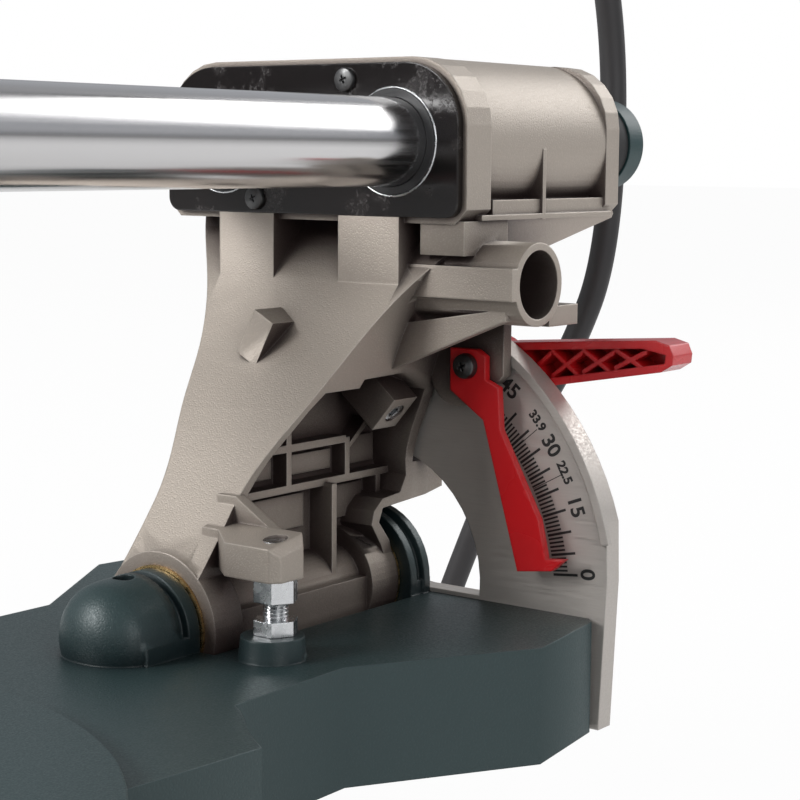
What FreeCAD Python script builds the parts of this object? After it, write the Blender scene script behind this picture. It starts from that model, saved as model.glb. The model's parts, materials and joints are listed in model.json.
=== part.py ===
import FreeCAD, Part
import math
import os
import re

import Sketcher

# Sliding compound mitre saw.
# Row frame: X to the right, Y to the rear, Z up, origin on the bench plane under the mitre pivot.
# Arm frame: same directions, origin on the tilt axis at the front face of the cover plate.

V = FreeCAD.Vector
Rotation = FreeCAD.Rotation
Placement = FreeCAD.Placement

doc = FreeCAD.newDocument("MitreSaw")
sheet = doc.addObject("Spreadsheet::Sheet", "Sizes")

# Driving sizes in millimetres and degrees, with the word that each is called by
SIZES = {
    # overall stations
    "table_z": 88, "plate_y": 315, "seat": 0.1, "run_gap": 0.05, "part_gap": 0.4,
    # turntable and base
    "disc_r": 160, "disc_thick": 16, "well_gap": 1.2, "rim_z": 41, "rim_wide": 24, "foot_z": 12,
    "floor_thick": 9, "hub_r": 30, "pivot_r": 9, "bench_x": 300, "bench_y": 300, "bench_hole_r": 4.5,
    "bench_boss_r": 8.5, "leg_wide": 46, "wing_x": 300, "wing_front": 70, "wing_rear": 26, "wing_wall": 6, "foot_r": 16,
    "nose_front": 312, "nose_half": 46, "nose_tip_half": 34, "nose_under": 45, "rear_step": 1.4, "kerf_half": 6,
    "insert_half": 24, "insert_thick": 3.8, "trough_half": 15, "trough_z": 74, "kerf_front": 302,
    "kerf_rear": 98, "neck_top": 82.5, "neck_under": 43, "neck_waist": 68.8, "neck_wide": 103.5,
    "neck_end_half": 94, "neck_wall": 7,
    # fences
    "fence_thick": 13, "fence_high": 30, "fence_total": 60, "fence_gap": 45, "slide_fence_gap": 62,
    "slide_fence_long": 105, "tongue_wide": 6, "tongue_deep": 8,
    # extension bars and work clamp
    "bar_r": 5, "bar_front_y": 50, "bar_rear_y": 2, "bar_z": 68, "bar_in": 180, "bar_out": 330,
    "post_r": 6, "post_x": 235, "post_y": 31, "post_high": 196, "clamp_reach": 68,
    # pivots of the tilt arm
    "dome_r": 19.5, "dome_tip": 111, "ear_gap": 1.3, "hub_front": 74.6, "hub_out_r": 25, "hub_rear": 29.3,
    "ear_front": 30.6, "ear_rear": 42.4, "ear_r": 26.2, "axle_r": 8, "bush_r": 11, "bush_flange_r": 20.4,
    "pad_x": 42.4, "pad_y": 66.6, "pad_r": 10.3, "pad_top": 2, "stop_low": 20.4, "stop_x": 42, "stop_y": 64.6,
    # sector plate
    "sector_y": 42.7, "sector_thick": 8, "sector_r": 104.5, "sector_bore": 47.5, "slot_r": 88,
    "slot_start": 62, "tilt_range": 45, "clamp_r": 5, "sector_side": 101, "sector_low": 45,
    # arm casting
    "waist_half": 17.5, "web_half": 2.5, "rib_out": 9, "rib_thick": 3, "front_wall": 5.5,
    "tube_y": 21, "tube_z": 112, "tube_bore_r": 11.7, "tube_r": 14.2, "tube_end": 85,
    # bearing housing, plate and rails
    "housing_half": 67.7, "housing_long": 100.6, "housing_low": 132, "housing_top": 188, "plate_thick": 3,
    "plate_half": 65.8, "plate_low": 134.1, "plate_top": 186.1, "rail_r": 15, "rail_x": 38.6,
    "rail_up": 159.4, "rail_wall": 3.5, "bearing_wall": 7.5, "bearing_long": 64, "barrel_wall": 13.9,
    "wiper_wall": 3, "travel": 280, "cap_proud": 2.6, "cap_end": 140,
    # carriage bracket and head
    "bracket_rear": 31, "bracket_long": 60, "chop_y": 1, "chop_up": 209, "chop_axle_r": 7, "chop_rest": 38,
    "ear_in": 33, "ear_out": 45, "lock_drop": 21, "blade_r": 127, "blade_half": 1.2, "blade_y": 240, "blade_down": 91,
    "arbor_r": 15, "guard_in_r": 136, "guard_wall": 3, "guard_in_half": 14, "lower_r": 133.5,
    "lower_half": 12.3, "lower_wall": 2, "lower_hole_r": 31, "nose_r": 24, "case_in": 17, "case_out": 45,
    "gear_r": 28, "pinion_r": 7, "motor_r": 43, "motor_start": 45, "motor_end": 178, "port_r": 18, "port_long": 44,
    "trigger_pin_r": 2, "trigger_pin_y": 407, "trigger_pin_z": 41.5,
    # cord
    "cord_r": 5.5, "gland_x": 56, "gland_y": 20, "coil_x": -166, "coil_y": 545, "coil_r": 50,
}

sheet.set("A1", "size")
for row, (word, value) in enumerate(SIZES.items(), start=2):
    sheet.set("A%d" % row, word)
    sheet.set("B%d" % row, str(value))
    sheet.setAlias("B%d" % row, word)
doc.recompute()

PIECES = {}


def bind(text):
    """Turns words such as rail_r into references to the sheet."""
    return re.sub(r"[a-z][a-z0-9_]*", lambda m: "Sizes." + m.group() if m.group() in SIZES else m.group(),
                  str(text))


def num(text):
    """The number that an expression has now."""
    return float(sheet.evalExpression(bind(text)))


# Building blocks bound to the sheet

TURN = {"X": Rotation(V(0, 1, 0), 90), "Y": Rotation(V(1, 0, 0), -90), "Z": Rotation()}
FACING = {"XY": Rotation(), "XZ": Rotation(V(1, 0, 0), 90), "YZ": Rotation(V(1, 1, 1), 120)}


def place(obj, x, y, z, rotation=None):
    """Puts an object at a bound point."""
    if rotation is not None:
        obj.Placement = Placement(V(0, 0, 0), rotation)
    for axis, text in zip("xyz", (x, y, z)):
        obj.setExpression("Placement.Base." + axis, bind(text))
    return obj


def box(x, y, z):
    """A block between three pairs of bound stations."""
    obj = doc.addObject("Part::Box", "Block")
    for side, pair in zip(("Length", "Width", "Height"), (x, y, z)):
        obj.setExpression(side, bind("(%s) - (%s)" % (pair[1], pair[0])))
    return place(obj, x[0], y[0], z[0])


def on_axis(axis, start, a, b):
    """The bound point of a round piece that starts at a station of its axis."""
    return {"X": (start, a, b), "Y": (a, start, b), "Z": (a, b, start)}[axis]


def rod(axis, radius, start, end, a="0", b="0"):
    """A cylinder along a row axis; a and b are its other two coordinates."""
    obj = doc.addObject("Part::Cylinder", "Rod")
    obj.setExpression("Radius", bind(radius))
    obj.setExpression("Height", bind("(%s) - (%s)" % (end, start)))
    return place(obj, *on_axis(axis, start, a, b), TURN[axis])


def cone(axis, radius, end_radius, start, end, a="0", b="0"):
    """A cone along a row axis."""
    obj = doc.addObject("Part::Cone", "Cone")
    obj.setExpression("Radius1", bind(radius))
    obj.setExpression("Radius2", bind(end_radius))
    obj.setExpression("Height", bind("(%s) - (%s)" % (end, start)))
    return place(obj, *on_axis(axis, start, a, b), TURN[axis])


def tie(sketch, kind, geometry, point, text):
    """One bound distance of a point from the sketch's origin."""
    index = sketch.addConstraint(Sketcher.Constraint(kind, -1, 1, geometry, point, num(text)))
    sketch.setExpression("Constraints[%d]" % index, bind(text))


def draw(sketch, loops):
    """Draws closed outlines and circles; a circle is ("o", x, y, radius)."""
    for loop in loops:
        first = sketch.GeometryCount
        if loop[0] == "o":
            x, y, radius = loop[1:]
            sketch.addGeometry(Part.Circle(V(num(x), num(y), 0), V(0, 0, 1), num(radius)), False)
            tie(sketch, "DistanceX", first, 3, x)
            tie(sketch, "DistanceY", first, 3, y)
            index = sketch.addConstraint(Sketcher.Constraint("Radius", first, num(radius)))
            sketch.setExpression("Constraints[%d]" % index, bind(radius))
            continue
        corners = [V(num(x), num(y), 0) for x, y in loop]
        count = len(corners)
        for i in range(count):
            sketch.addGeometry(Part.LineSegment(corners[i], corners[(i + 1) % count]), False)
        for i in range(count):
            sketch.addConstraint(Sketcher.Constraint("Coincident", first + i, 2, first + (i + 1) % count, 1))
            tie(sketch, "DistanceX", first + i, 1, loop[i][0])
            tie(sketch, "DistanceY", first + i, 1, loop[i][1])


def prism(plane, loops, low, high):
    """A drawn outline carried from one station to another, square to its plane."""
    sketch = doc.addObject("Sketcher::SketchObject", "Outline")
    draw(sketch, loops)
    start = {"XY": ("0", "0", low), "XZ": ("0", high, "0"), "YZ": (low, "0", "0")}[plane]
    place(sketch, *start, FACING[plane])
    obj = doc.addObject("Part::Extrusion", "Prism")
    obj.Base = sketch
    obj.DirMode = "Normal"
    obj.Solid = True
    obj.setExpression("LengthFwd", bind("(%s) - (%s)" % (high, low)))
    return obj


def turned(axis, points, a="0", b="0", shift="0"):
    """A profile of (station, radius) corners turned about a row axis."""
    plane = {"X": "XY", "Y": "XY", "Z": "XZ"}[axis]
    swap = axis != "X"
    sketch = doc.addObject("Sketcher::SketchObject", "Profile")
    draw(sketch, [[(r, s) if swap else (s, r) for s, r in points]])
    sketch.Placement = Placement(V(0, 0, 0), FACING[plane])
    obj = doc.addObject("Part::Revolution", "Turned")
    obj.Source = sketch
    obj.Axis = {"X": V(1, 0, 0), "Y": V(0, 1, 0), "Z": V(0, 0, 1)}[axis]
    obj.Angle = 360
    obj.Solid = True
    return place(obj, *on_axis(axis, shift, a, b))


def fuse(*parts):
    obj = doc.addObject("Part::MultiFuse", "Joined")
    obj.Shapes = list(parts)
    obj.Refine = True
    return obj


def common(*parts):
    obj = doc.addObject("Part::MultiCommon", "Shared")
    obj.Shapes = list(parts)
    return obj


def cut(base, *tools):
    """A base with one or more tools taken away."""
    obj = doc.addObject("Part::Cut", "Cutting")
    obj.Base = base
    obj.Tool = tools[0] if len(tools) == 1 else fuse(*tools)
    obj.Refine = True
    return obj


def group(*parts):
    """Separate solids that share one node."""
    obj = doc.addObject("Part::Compound", "Group")
    obj.Links = list(parts)
    return obj


def along(edge, axis):
    """True for a straight edge along a row axis."""
    if edge.Curve.TypeId != "Part::GeomLine":
        return False
    return abs(getattr(edge.Curve.Direction, axis)) > 0.999


def loop_solid(plane, wire_parts, low, high):
    """A solid from edges already made, carried along the axis square to their plane."""
    face = Part.Face(Part.Wire(Part.__sortEdges__(wire_parts)))
    step = {"XY": V(0, 0, high - low), "XZ": V(0, high - low, 0), "YZ": V(high - low, 0, 0)}[plane]
    solid = face.extrude(step)
    solid.translate({"XY": V(0, 0, low), "XZ": V(0, low, 0), "YZ": V(low, 0, 0)}[plane])
    return solid


def made(shape):
    """Holds a shape that was computed from sheet values."""
    obj = doc.addObject("Part::Feature", "Shaped")
    obj.Shape = shape
    return obj


# Bodies with sketched features

def design():
    return doc.addObject("PartDesign::Body", "Design")


def design_sketch(body, plane, loops, level):
    """A sketch on one of the body's own origin planes, lifted to a bound level."""
    sketch = body.newObject("Sketcher::SketchObject", "Sketch")
    role = plane + "_Plane"
    sketch.AttachmentSupport = [(next(f for f in body.Origin.OriginFeatures if f.Role == role), "")]
    sketch.MapMode = "FlatFace"
    lift = "-(%s)" % level if plane == "XZ" else level
    sketch.setExpression("AttachmentOffset.Base.z", bind(lift))
    draw(sketch, loops)
    return sketch


def pad(body, plane, loops, low, high):
    feature = body.newObject("PartDesign::Pad", "Pad")
    feature.Profile = design_sketch(body, plane, loops, high if plane == "XZ" else low)
    feature.setExpression("Length", bind("(%s) - (%s)" % (high, low)))
    return feature


def pocket(body, plane, loops, low, high):
    feature = body.newObject("PartDesign::Pocket", "Pocket")
    feature.Profile = design_sketch(body, plane, loops, low if plane == "XZ" else high)
    feature.setExpression("Length", bind("(%s) - (%s)" % (high, low)))
    return feature


def edge_round(body, radius, pick, kind="PartDesign::Fillet"):
    doc.recompute()
    base = body.Tip
    names = []
    for index, edge in enumerate(base.Shape.Edges, start=1):
        middle = edge.valueAt((edge.FirstParameter + edge.LastParameter) / 2)
        if pick(middle, edge):
            names.append("Edge%d" % index)
    feature = body.newObject(kind, "Round")
    feature.Base = (base, names)
    feature.setExpression("Size" if kind.endswith("Chamfer") else "Radius", bind(radius))
    return feature


def spun(body, axis, points, kind="PartDesign::Revolution"):
    """A turned feature; the profile lies in the body's XY plane (axis X or Y) or XZ plane (axis Z)."""
    plane = "XZ" if axis == "Z" else "XY"
    feature = body.newObject(kind, "Spin")
    corners = [(s, r) if axis == "X" else (r, s) for s, r in points]
    sketch = design_sketch(body, plane, [corners], "0")
    feature.Profile = sketch
    feature.ReferenceAxis = (sketch, ["H_Axis" if axis == "X" else "V_Axis"])
    feature.Angle = 360
    return feature


# Frames that pieces are drawn in

def in_row(obj, label):
    obj.Label = label
    PIECES[label] = obj


def loose(obj):
    """A piece that can be moved whole, also when its first solid has a place of its own."""
    whole = ("Part::Cut", "Part::MultiFuse", "Part::MultiCommon", "Part::Compound", "PartDesign::Body")
    return obj if obj.TypeId in whole and obj.Placement.isIdentity() else group(obj)


def in_arm(obj, label):
    """A piece drawn in the arm frame."""
    in_row(place(loose(obj), "0", "plate_y", "table_z"), label)


def in_head(obj, label):
    """A piece drawn about the chop pivot with the saw down, and lifted to its rest."""
    obj = loose(obj)
    obj.Placement = Placement(V(0, 0, 0), Rotation(V(-1, 0, 0), num("chop_rest")))
    place(obj, "0", "chop_y", "table_z + chop_up")
    obj.setExpression("Placement.Rotation.Angle", bind("chop_rest"))
    in_row(obj, label)


def ring_solid(axis, out, inner, start, end, a="0", b="0"):
    return cut(rod(axis, out, start, end, a, b), rod(axis, inner, start + " - 1", end + " + 1", a, b))


# Base

def base_casting():
    """Round bowl with a rim for the scale, four legs and two tapered hollow wings."""
    floor = rod("Z", "disc_r + well_gap + rim_wide", "foot_z", "foot_z + floor_thick")
    rim = ring_solid("Z", "disc_r + well_gap + rim_wide", "disc_r - 14", "foot_z", "rim_z")
    hub = rod("Z", "hub_r", "foot_z", "rim_z - 1")
    legs = []
    for side_x in (-1, 1):
        for side_y in (-1, 1):
            leg_x = "%d * bench_x / 2" % side_x
            leg_y = "%d * bench_y / 2" % side_y
            legs.append(rod("Z", "leg_wide / 2", "foot_z", "foot_z + 14", leg_x, leg_y))
            legs.append(rod("Z", "bench_boss_r", "0", "foot_z + 1", leg_x, leg_y))
            corner = ("%d * (bench_x / 2 - 42)" % side_x, "%d * (bench_y / 2 - 42)" % side_y)
            tx = "%d * leg_wide / 2 * 0.7071" % side_x
            ty = "%d * leg_wide / 2 * 0.7071" % side_y
            outline = [(leg_x + " + " + tx, leg_y + " - " + ty), (leg_x + " - " + tx, leg_y + " + " + ty),
                       (corner[0] + " - " + tx, corner[1] + " + " + ty),
                       (corner[0] + " + " + tx, corner[1] + " - " + ty)]
            legs.append(prism("XY", [outline], "foot_z", "foot_z + 14"))
    wings = []
    for side in (-1, 1):
        s = "%d * " % side
        plan = [(s + "146", "-wing_front"), (s + "wing_x", "-wing_front"), (s + "wing_x", "wing_rear"),
                (s + "(disc_r + 40)", "wing_rear"), (s + "(disc_r + 18)", "8"), (s + "146", "8")]
        outer = prism("XY", [plan], "foot_z", "table_z")
        under = [(s + "(disc_r + well_gap + rim_wide)", "foot_z - 1"), (s + "(wing_x + 1)", "foot_z - 1"),
                 (s + "(wing_x + 1)", "table_z - 38")]
        slope = prism("XZ", [under], "-wing_front - 1", "wing_rear + 1")
        low, high = ("disc_r + 30", "wing_x - wing_wall")
        if side < 0:
            low, high = ("-(wing_x - wing_wall)", "-(disc_r + 30)")
        hollow = box((low, high), ("wing_wall - wing_front", "wing_rear - wing_wall"),
                     ("foot_z - 1", "table_z - wing_wall - 1"))
        web_x = s + "250 - 2"
        web = box((web_x, web_x + " + 4"), ("wing_wall - wing_front - 1", "wing_rear - wing_wall + 1"),
                  ("table_z - 32", "table_z - wing_wall"))
        wings.append(fuse(cut(outer, slope, hollow), web))
    well = rod("Z", "disc_r + well_gap", "rim_z", "table_z + 1")
    drills = [rod("Z", "pivot_r + run_gap", "0", "rim_z + 1")]
    for side_x in (-1, 1):
        for side_y in (-1, 1):
            drills.append(rod("Z", "bench_hole_r", "-1", "rim_z", "%d * bench_x / 2" % side_x,
                              "%d * bench_y / 2" % side_y))
    for side in (-1, 1):
        for y in ("-bar_front_y", "-bar_rear_y"):
            low, high = ("bar_in - 4", "wing_x + 1") if side > 0 else ("-wing_x - 1", "4 - bar_in")
            drills.append(rod("X", "bar_r + run_gap", low, high, y, "bar_z"))
    for angle in (0, 15, 22.5, 31.6, 45):
        for sign in ((1,) if angle == 0 else (-1, 1)):
            turn = math.radians(sign * angle)
            notch = rod("Z", "4.2", "foot_z + 12", "rim_z + 1",
                        "%.6f * (disc_r + well_gap + rim_wide)" % math.sin(turn),
                        "%.6f * (disc_r + well_gap + rim_wide)" % -math.cos(turn))
            drills.append(notch)
    solid = fuse(floor, rim, hub, *legs, *wings)
    in_row(cut(solid, well, *drills), "base_casting")


def rubber_feet():
    feet = []
    for side_x in (-1, 1):
        for side_y in (-1, 1):
            x, y = "%d * bench_x / 2" % side_x, "%d * bench_y / 2" % side_y
            feet.append(ring_solid("Z", "foot_r", "bench_boss_r + seat", "0", "foot_z", x, y))
    in_row(group(*feet), "rubber_feet")


def pivot_bolt():
    """Steel pin that the turntable swings on, with its head under the bowl."""
    body = design()
    spun(body, "Z", [("foot_z - 6", "0"), ("foot_z - 6", "pivot_r + 5"), ("foot_z - seat", "pivot_r + 5"),
                     ("foot_z - seat", "pivot_r"), ("table_z - 22", "pivot_r"), ("table_z - 20", "pivot_r - 2"),
                     ("table_z - 20", "0")])
    in_row(body, "pivot_bolt")


def mitre_scale():
    """Thin arc strip on the front rim."""
    inner, outer = "disc_r + well_gap + 1", "disc_r + well_gap + rim_wide - 6"
    ring = ring_solid("Z", outer, inner, "rim_z + seat", "rim_z + 1.2")
    front = prism("XY", [[("0", "0"), ("-disc_r * 1.5", "-disc_r * 1.05"), ("0", "-disc_r * 2"),
                          ("disc_r * 1.5", "-disc_r * 1.05")]], "rim_z", "rim_z + 2")
    in_row(common(ring, front), "mitre_scale")


def fences():
    for side, name in ((1, "right"), (-1, "left")):
        s = "%d * " % side

        def span(near, far, s=side):
            return (near, far) if s > 0 else ("-(%s)" % far, "-(%s)" % near)
        plate_ends = [(s + "fence_gap", "table_z + 0.8"), (s + "wing_x", "table_z + 0.8"),
                      (s + "wing_x", "table_z + fence_high"), (s + "(fence_gap + 20)", "table_z + fence_high"),
                      (s + "fence_gap", "table_z + 12")]
        plate = prism("XZ", [plate_ends], "0", "fence_thick")
        sole = box(span("disc_r + 6", "wing_x"), ("0", "wing_rear - 1"), ("table_z", "table_z + 9"))
        ribs = []
        for x in ("disc_r + 30", "disc_r + 90"):
            wedge = [("fence_thick - 1", "table_z + 5"), ("wing_rear - 2", "table_z + 5"),
                     ("fence_thick - 1", "table_z + fence_high - 4")]
            a, b = span(x, x + " + 5")
            ribs.append(prism("YZ", [wedge], a, b))
        parts = [plate, sole] + ribs
        groove = box(span("fence_gap - 1", "wing_x + 1"),
                     ("fence_thick / 2 - tongue_wide / 2", "fence_thick / 2 + tongue_wide / 2"),
                     ("table_z + fence_high - tongue_deep", "table_z + fence_high + 1"))
        tools = [groove]
        if side < 0:
            parts.append(rod("Z", "post_r + 6", "table_z", "table_z + fence_high + 16", "-post_x", "post_y - 6"))
            parts.append(box(("-post_x - 6", "6 - post_x"), ("fence_thick - 1", "post_y - 6"),
                             ("table_z + 4", "table_z + fence_high")))
            tools.append(rod("Z", "post_r + run_gap", "table_z + 5", "table_z + fence_high + 20",
                             "-post_x", "post_y - 6"))
        in_row(cut(fuse(*parts), *tools), "fence_" + name)
        gap = "part_gap"
        head = [(s + "slide_fence_gap", "table_z + fence_high + " + gap),
                (s + "(slide_fence_gap + slide_fence_long)", "table_z + fence_high + " + gap),
                (s + "(slide_fence_gap + slide_fence_long)", "table_z + fence_total"),
                (s + "(slide_fence_gap + 24)", "table_z + fence_total")]
        tongue = box(span("slide_fence_gap + 6", "slide_fence_gap + slide_fence_long"),
                     ("fence_thick / 2 - tongue_wide / 2 + part_gap",
                      "fence_thick / 2 + tongue_wide / 2 - part_gap"),
                     ("table_z + fence_high - tongue_deep + part_gap", "table_z + fence_high + 2"))
        in_row(fuse(prism("XZ", [head], "0", "fence_thick"), tongue), "sliding_fence_" + name)


def extension_bars():
    """One bent bar per side; it slides in two bores of the wing."""
    for side, name in ((1, "right"), (-1, "left")):
        z, bend = num("bar_z"), 14.0
        x_in, x_out = side * num("bar_in"), side * num("bar_out")
        y_near, y_far = -num("bar_front_y"), -num("bar_rear_y")
        inside = x_out - side * bend
        half = bend * (1 - math.sqrt(0.5))
        points = [V(x_in, y_near, z), V(inside, y_near, z), V(x_out - side * half, y_near + half, z),
                  V(x_out, y_near + bend, z), V(x_out, y_far - bend, z), V(x_out - side * half, y_far - half, z),
                  V(inside, y_far, z), V(x_in, y_far, z)]
        edges = [Part.LineSegment(points[0], points[1]).toShape(),
                 Part.Arc(points[1], points[2], points[3]).toShape(),
                 Part.LineSegment(points[3], points[4]).toShape(),
                 Part.Arc(points[4], points[5], points[6]).toShape(),
                 Part.LineSegment(points[6], points[7]).toShape()]
        path = Part.Wire(edges)
        ring = Part.Wire(Part.makeCircle(num("bar_r"), points[0], V(1, 0, 0)))
        in_row(made(path.makePipeShell([ring], True, False)), "extension_bar_" + name)


def work_clamp():
    """Post in the fence socket with a cast arm, a screw and a swivel pad."""
    x, y = "-post_x", "post_y - 6"
    tip_y = "post_y - 6 - clamp_reach"
    top = "post_high"
    post = rod("Z", "post_r", "table_z + 8", top, x, y)
    collar = rod("Z", "post_r + 3", "table_z + fence_high + 16 + part_gap", "table_z + fence_high + 24", x, y)
    beam = prism("YZ", [[(y, top), (y, top + " - 26"), (tip_y, top + " - 16"), (tip_y, top)]],
                 "-post_x - 7", "7 - post_x")
    nut = rod("Z", "12", top + " - 22", top + " + 4", x, tip_y)
    knuckle = rod("Z", "post_r + 6", top + " - 28", top, x, y)
    bore = rod("Z", "5.05", top + " - 30", top + " + 5", x, tip_y)
    in_row(cut(fuse(post, collar, beam, nut, knuckle), bore), "clamp_arm")
    screw = fuse(rod("Z", "5", top + " - 52", top + " + 50", x, tip_y),
                 rod("Z", "3", top + " - 58", top + " - 52", x, tip_y),
                 turned("Z", [("0", "0"), ("0", "9"), ("6", "17"), ("14", "17"), ("20", "11"), ("20", "0")],
                        x, tip_y, top + " + 50"))
    in_row(screw, "clamp_screw")
    pad_solid = turned("Z", [("0", "0"), ("0", "16"), ("5", "16"), ("10", "7"), ("14", "7"), ("14", "0")],
                       x, tip_y, top + " - 66")
    in_row(cut(pad_solid, rod("Z", "3.05", top + " - 58.3", top + " - 51", x, tip_y)), "clamp_pad")


# Turntable

SECTOR_BOLTS = [(x, z) for x in ("-55", "70") for z in ("neck_under + 12", "neck_top - 13")]


def arc_points(radius, start, end, count):
    """Corner words on an arc, by degrees from +X."""
    words = []
    for i in range(count + 1):
        angle = "(%s) + ((%s) - (%s)) * %d / %d" % (start, end, start, i, count)
        words.append(("(%s) * cos(%s)" % (radius, angle), "(%s) * sin(%s)" % (radius, angle)))
    return words


def turntable():
    """Disc with a skirt, front nose, rear neck, kerf trough, front dome, rear ear and stop pads."""
    disc = rod("Z", "disc_r", "table_z - disc_thick", "table_z")
    skirt = ring_solid("Z", "disc_r", "disc_r - 7", "rim_z + 3.5", "table_z - 2")
    hub = rod("Z", "hub_r", "rim_z - 0.6", "table_z - 2")
    nose_plan = [("-nose_half", "-100"), ("-nose_tip_half", "-nose_front"), ("nose_tip_half", "-nose_front"),
                 ("nose_half", "-100")]
    nose = prism("XY", [nose_plan], "nose_under", "table_z")
    nose_in = [("7 - nose_half", "-disc_r - 12"), ("7 - nose_tip_half", "8 - nose_front"),
               ("nose_tip_half - 7", "8 - nose_front"), ("nose_half - 7", "-disc_r - 12")]
    nose_hollow = prism("XY", [nose_in], "nose_under - 1", "trough_z - 5")
    half = [("98", "60"), ("98", "127"), ("102", "plate_y - 140"), ("96", "plate_y - 136"),
            ("88", "plate_y - 130"), ("80", "plate_y - 122.5"), ("74", "plate_y - 117.5"),
            ("neck_waist", "plate_y - 114"), ("neck_waist - 1", "plate_y - 61"), ("neck_wide", "plate_y - 2"),
            ("97.4", "plate_y + 39"), ("neck_end_half", "plate_y + sector_y - 0.1")]
    left = [("-(%s)" % x, y) for x, y in reversed(half)]
    neck = prism("XY", [half + left], "neck_under", "neck_top")
    inner = [("52", "disc_r + 8"), ("neck_waist - 8", "plate_y - 62"), ("neck_wide - 16", "plate_y - 4"),
             ("neck_end_half - 12", "plate_y + sector_y - 18")]
    inner_left = [("-(%s)" % x, y) for x, y in reversed(inner)]
    neck_hollow = prism("XY", [inner + inner_left], "neck_under - 1", "neck_top - neck_wall")
    ribs = []
    for angle in (30, 90, 150, 210, 330):
        rib = box(("hub_r - 4", "disc_r - 5"), ("-2.5", "2.5"), ("rim_z + 8", "trough_z - 1"))
        rib.Placement = Placement(V(0, 0, 0), Rotation(V(0, 0, 1), angle))
        for axis, part in (("x", math.cos(math.radians(angle))), ("y", math.sin(math.radians(angle)))):
            rib.setExpression("Placement.Base." + axis, bind("(hub_r - 4) * %.6f" % part + (
                " + 2.5 * %.6f" % math.sin(math.radians(angle)) if axis == "x" else
                " - 2.5 * %.6f" % math.cos(math.radians(angle)))))
        rib.setExpression("Placement.Base.z", bind("rim_z + 8"))
        ribs.append(rib)
    mid_rib = box(("-3", "3"), ("disc_r", "plate_y + sector_y - 12"), ("neck_under + 6", "neck_top - 2"))
    lugs = [box(pair, ("-disc_r - 97", "-disc_r - 83"), ("nose_under - 12", "trough_z - 4"))
            for pair in (("8", "12"), ("-12", "-8"))]
    pin_hole = rod("X", "5 + run_gap", "-13", "13", "-disc_r - 90", "nose_under - 6")
    front = "plate_y - "
    nose_curve = [("-97 - (dome_tip - 97) * sin(%d)" % t, "(dome_r - 0.6) * cos(%d)" % t) for t in range(90, 9, -10)]
    dome = turned("Y", nose_curve + [("-96", "dome_r - 0.5"), ("-85", "dome_r"), ("-83.5", "dome_r - 2.5"),
                                     ("-81.5", "dome_r - 2.5"), ("-81", "dome_r"),
                                     ("-hub_front - ear_gap", "dome_r"), ("-hub_front - ear_gap", "0")],
                  "0", "table_z", "plate_y")
    dome_foot = box(("-dome_r", "dome_r"), (front + "100", front + "(hub_front + ear_gap)"),
                    ("neck_top - 2", "table_z"))
    ear = turned("Y", [("ear_front", "0"), ("ear_front", "ear_r - 0.8"), ("34", "ear_r - 0.8"),
                       ("34.6", "ear_r - 2.4"), ("37", "ear_r - 2.4"), ("37.6", "ear_r"),
                       ("ear_rear - 1.5", "ear_r"), ("ear_rear", "ear_r - 1.5"), ("ear_rear", "0")],
                 "0", "table_z", "plate_y")
    ear_foot = box(("-ear_r + 1", "ear_r - 1"), ("plate_y + ear_front", "plate_y + ear_rear"),
                   ("neck_top - 2", "table_z"))
    pads = [cone("Z", "pad_r + 1", "pad_r", "neck_top - 1", "table_z + pad_top", "pad_x", "plate_y - pad_y"),
            cone("Z", "pad_r + 1", "pad_r", "neck_top - 1", "table_z + pad_top", "-pad_x - 3", "plate_y - 13")]
    solid = fuse(disc, skirt, hub, nose, neck, dome, dome_foot, ear, ear_foot, *pads)
    trough = box(("-trough_half", "trough_half"), ("4 - kerf_front", "kerf_rear - 4"), ("trough_z", "table_z"))
    ledge = box(("-insert_half - part_gap", "insert_half + part_gap"),
                ("-kerf_front - part_gap", "kerf_rear + part_gap"), ("table_z - insert_thick - seat", "table_z + 1"))
    step = box(("-disc_r - 1", "disc_r + 1"), ("-part_gap", "disc_r + 1"), ("table_z - rear_step", "table_z + 1"))
    pit = rod("Z", "pivot_r + run_gap", "rim_z - 2", "table_z - 19")
    axle = rod("Y", "axle_r + run_gap", "plate_y - 96", "plate_y + ear_rear + 1", "0", "table_z")
    hub_room = rod("Y", "hub_out_r + 1.2", "plate_y - hub_front - ear_gap", "plate_y + ear_front", "0", "table_z")
    knob = rod("Y", "6.1", "-nose_front - 1", "30 - nose_front", "0", "nose_under + 17")
    holes = [axle, hub_room, knob]
    for x, z in SECTOR_BOLTS:
        holes.append(rod("Y", "3.1", "plate_y + sector_y - 12", "plate_y + sector_y + 1", x, z))
    dome_hole = rod("Z", "3.6", "table_z + 6", "table_z + dome_r + 1", "0", "plate_y - 91")
    body = cut(solid, trough, ledge, step, pit, nose_hollow, neck_hollow, dome_hole, *holes)
    in_row(fuse(body, *ribs, cut(mid_rib, hub_room, axle), cut(fuse(*lugs), pin_hole)), "turntable")


def kerf_inserts():
    """Two thin plates that leave the blade's slot between them."""
    plates = []
    for side in (-1, 1):
        low, high = ("kerf_half", "insert_half") if side > 0 else ("-insert_half", "-kerf_half")
        plates.append(box((low, high), ("-kerf_front", "kerf_rear"), ("table_z - insert_thick", "table_z")))
    in_row(group(*plates), "kerf_inserts")


def mitre_pointer():
    body = design()
    pad(body, "XY", [[("-6", "-disc_r - 14"), ("0", "-disc_r - 18.5"), ("6", "-disc_r - 14"), ("6", "-disc_r - 4.5"),
                      ("-6", "-disc_r - 4.5")]], "rim_z + 2", "rim_z + 3.9")
    in_row(body, "mitre_pointer")


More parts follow.
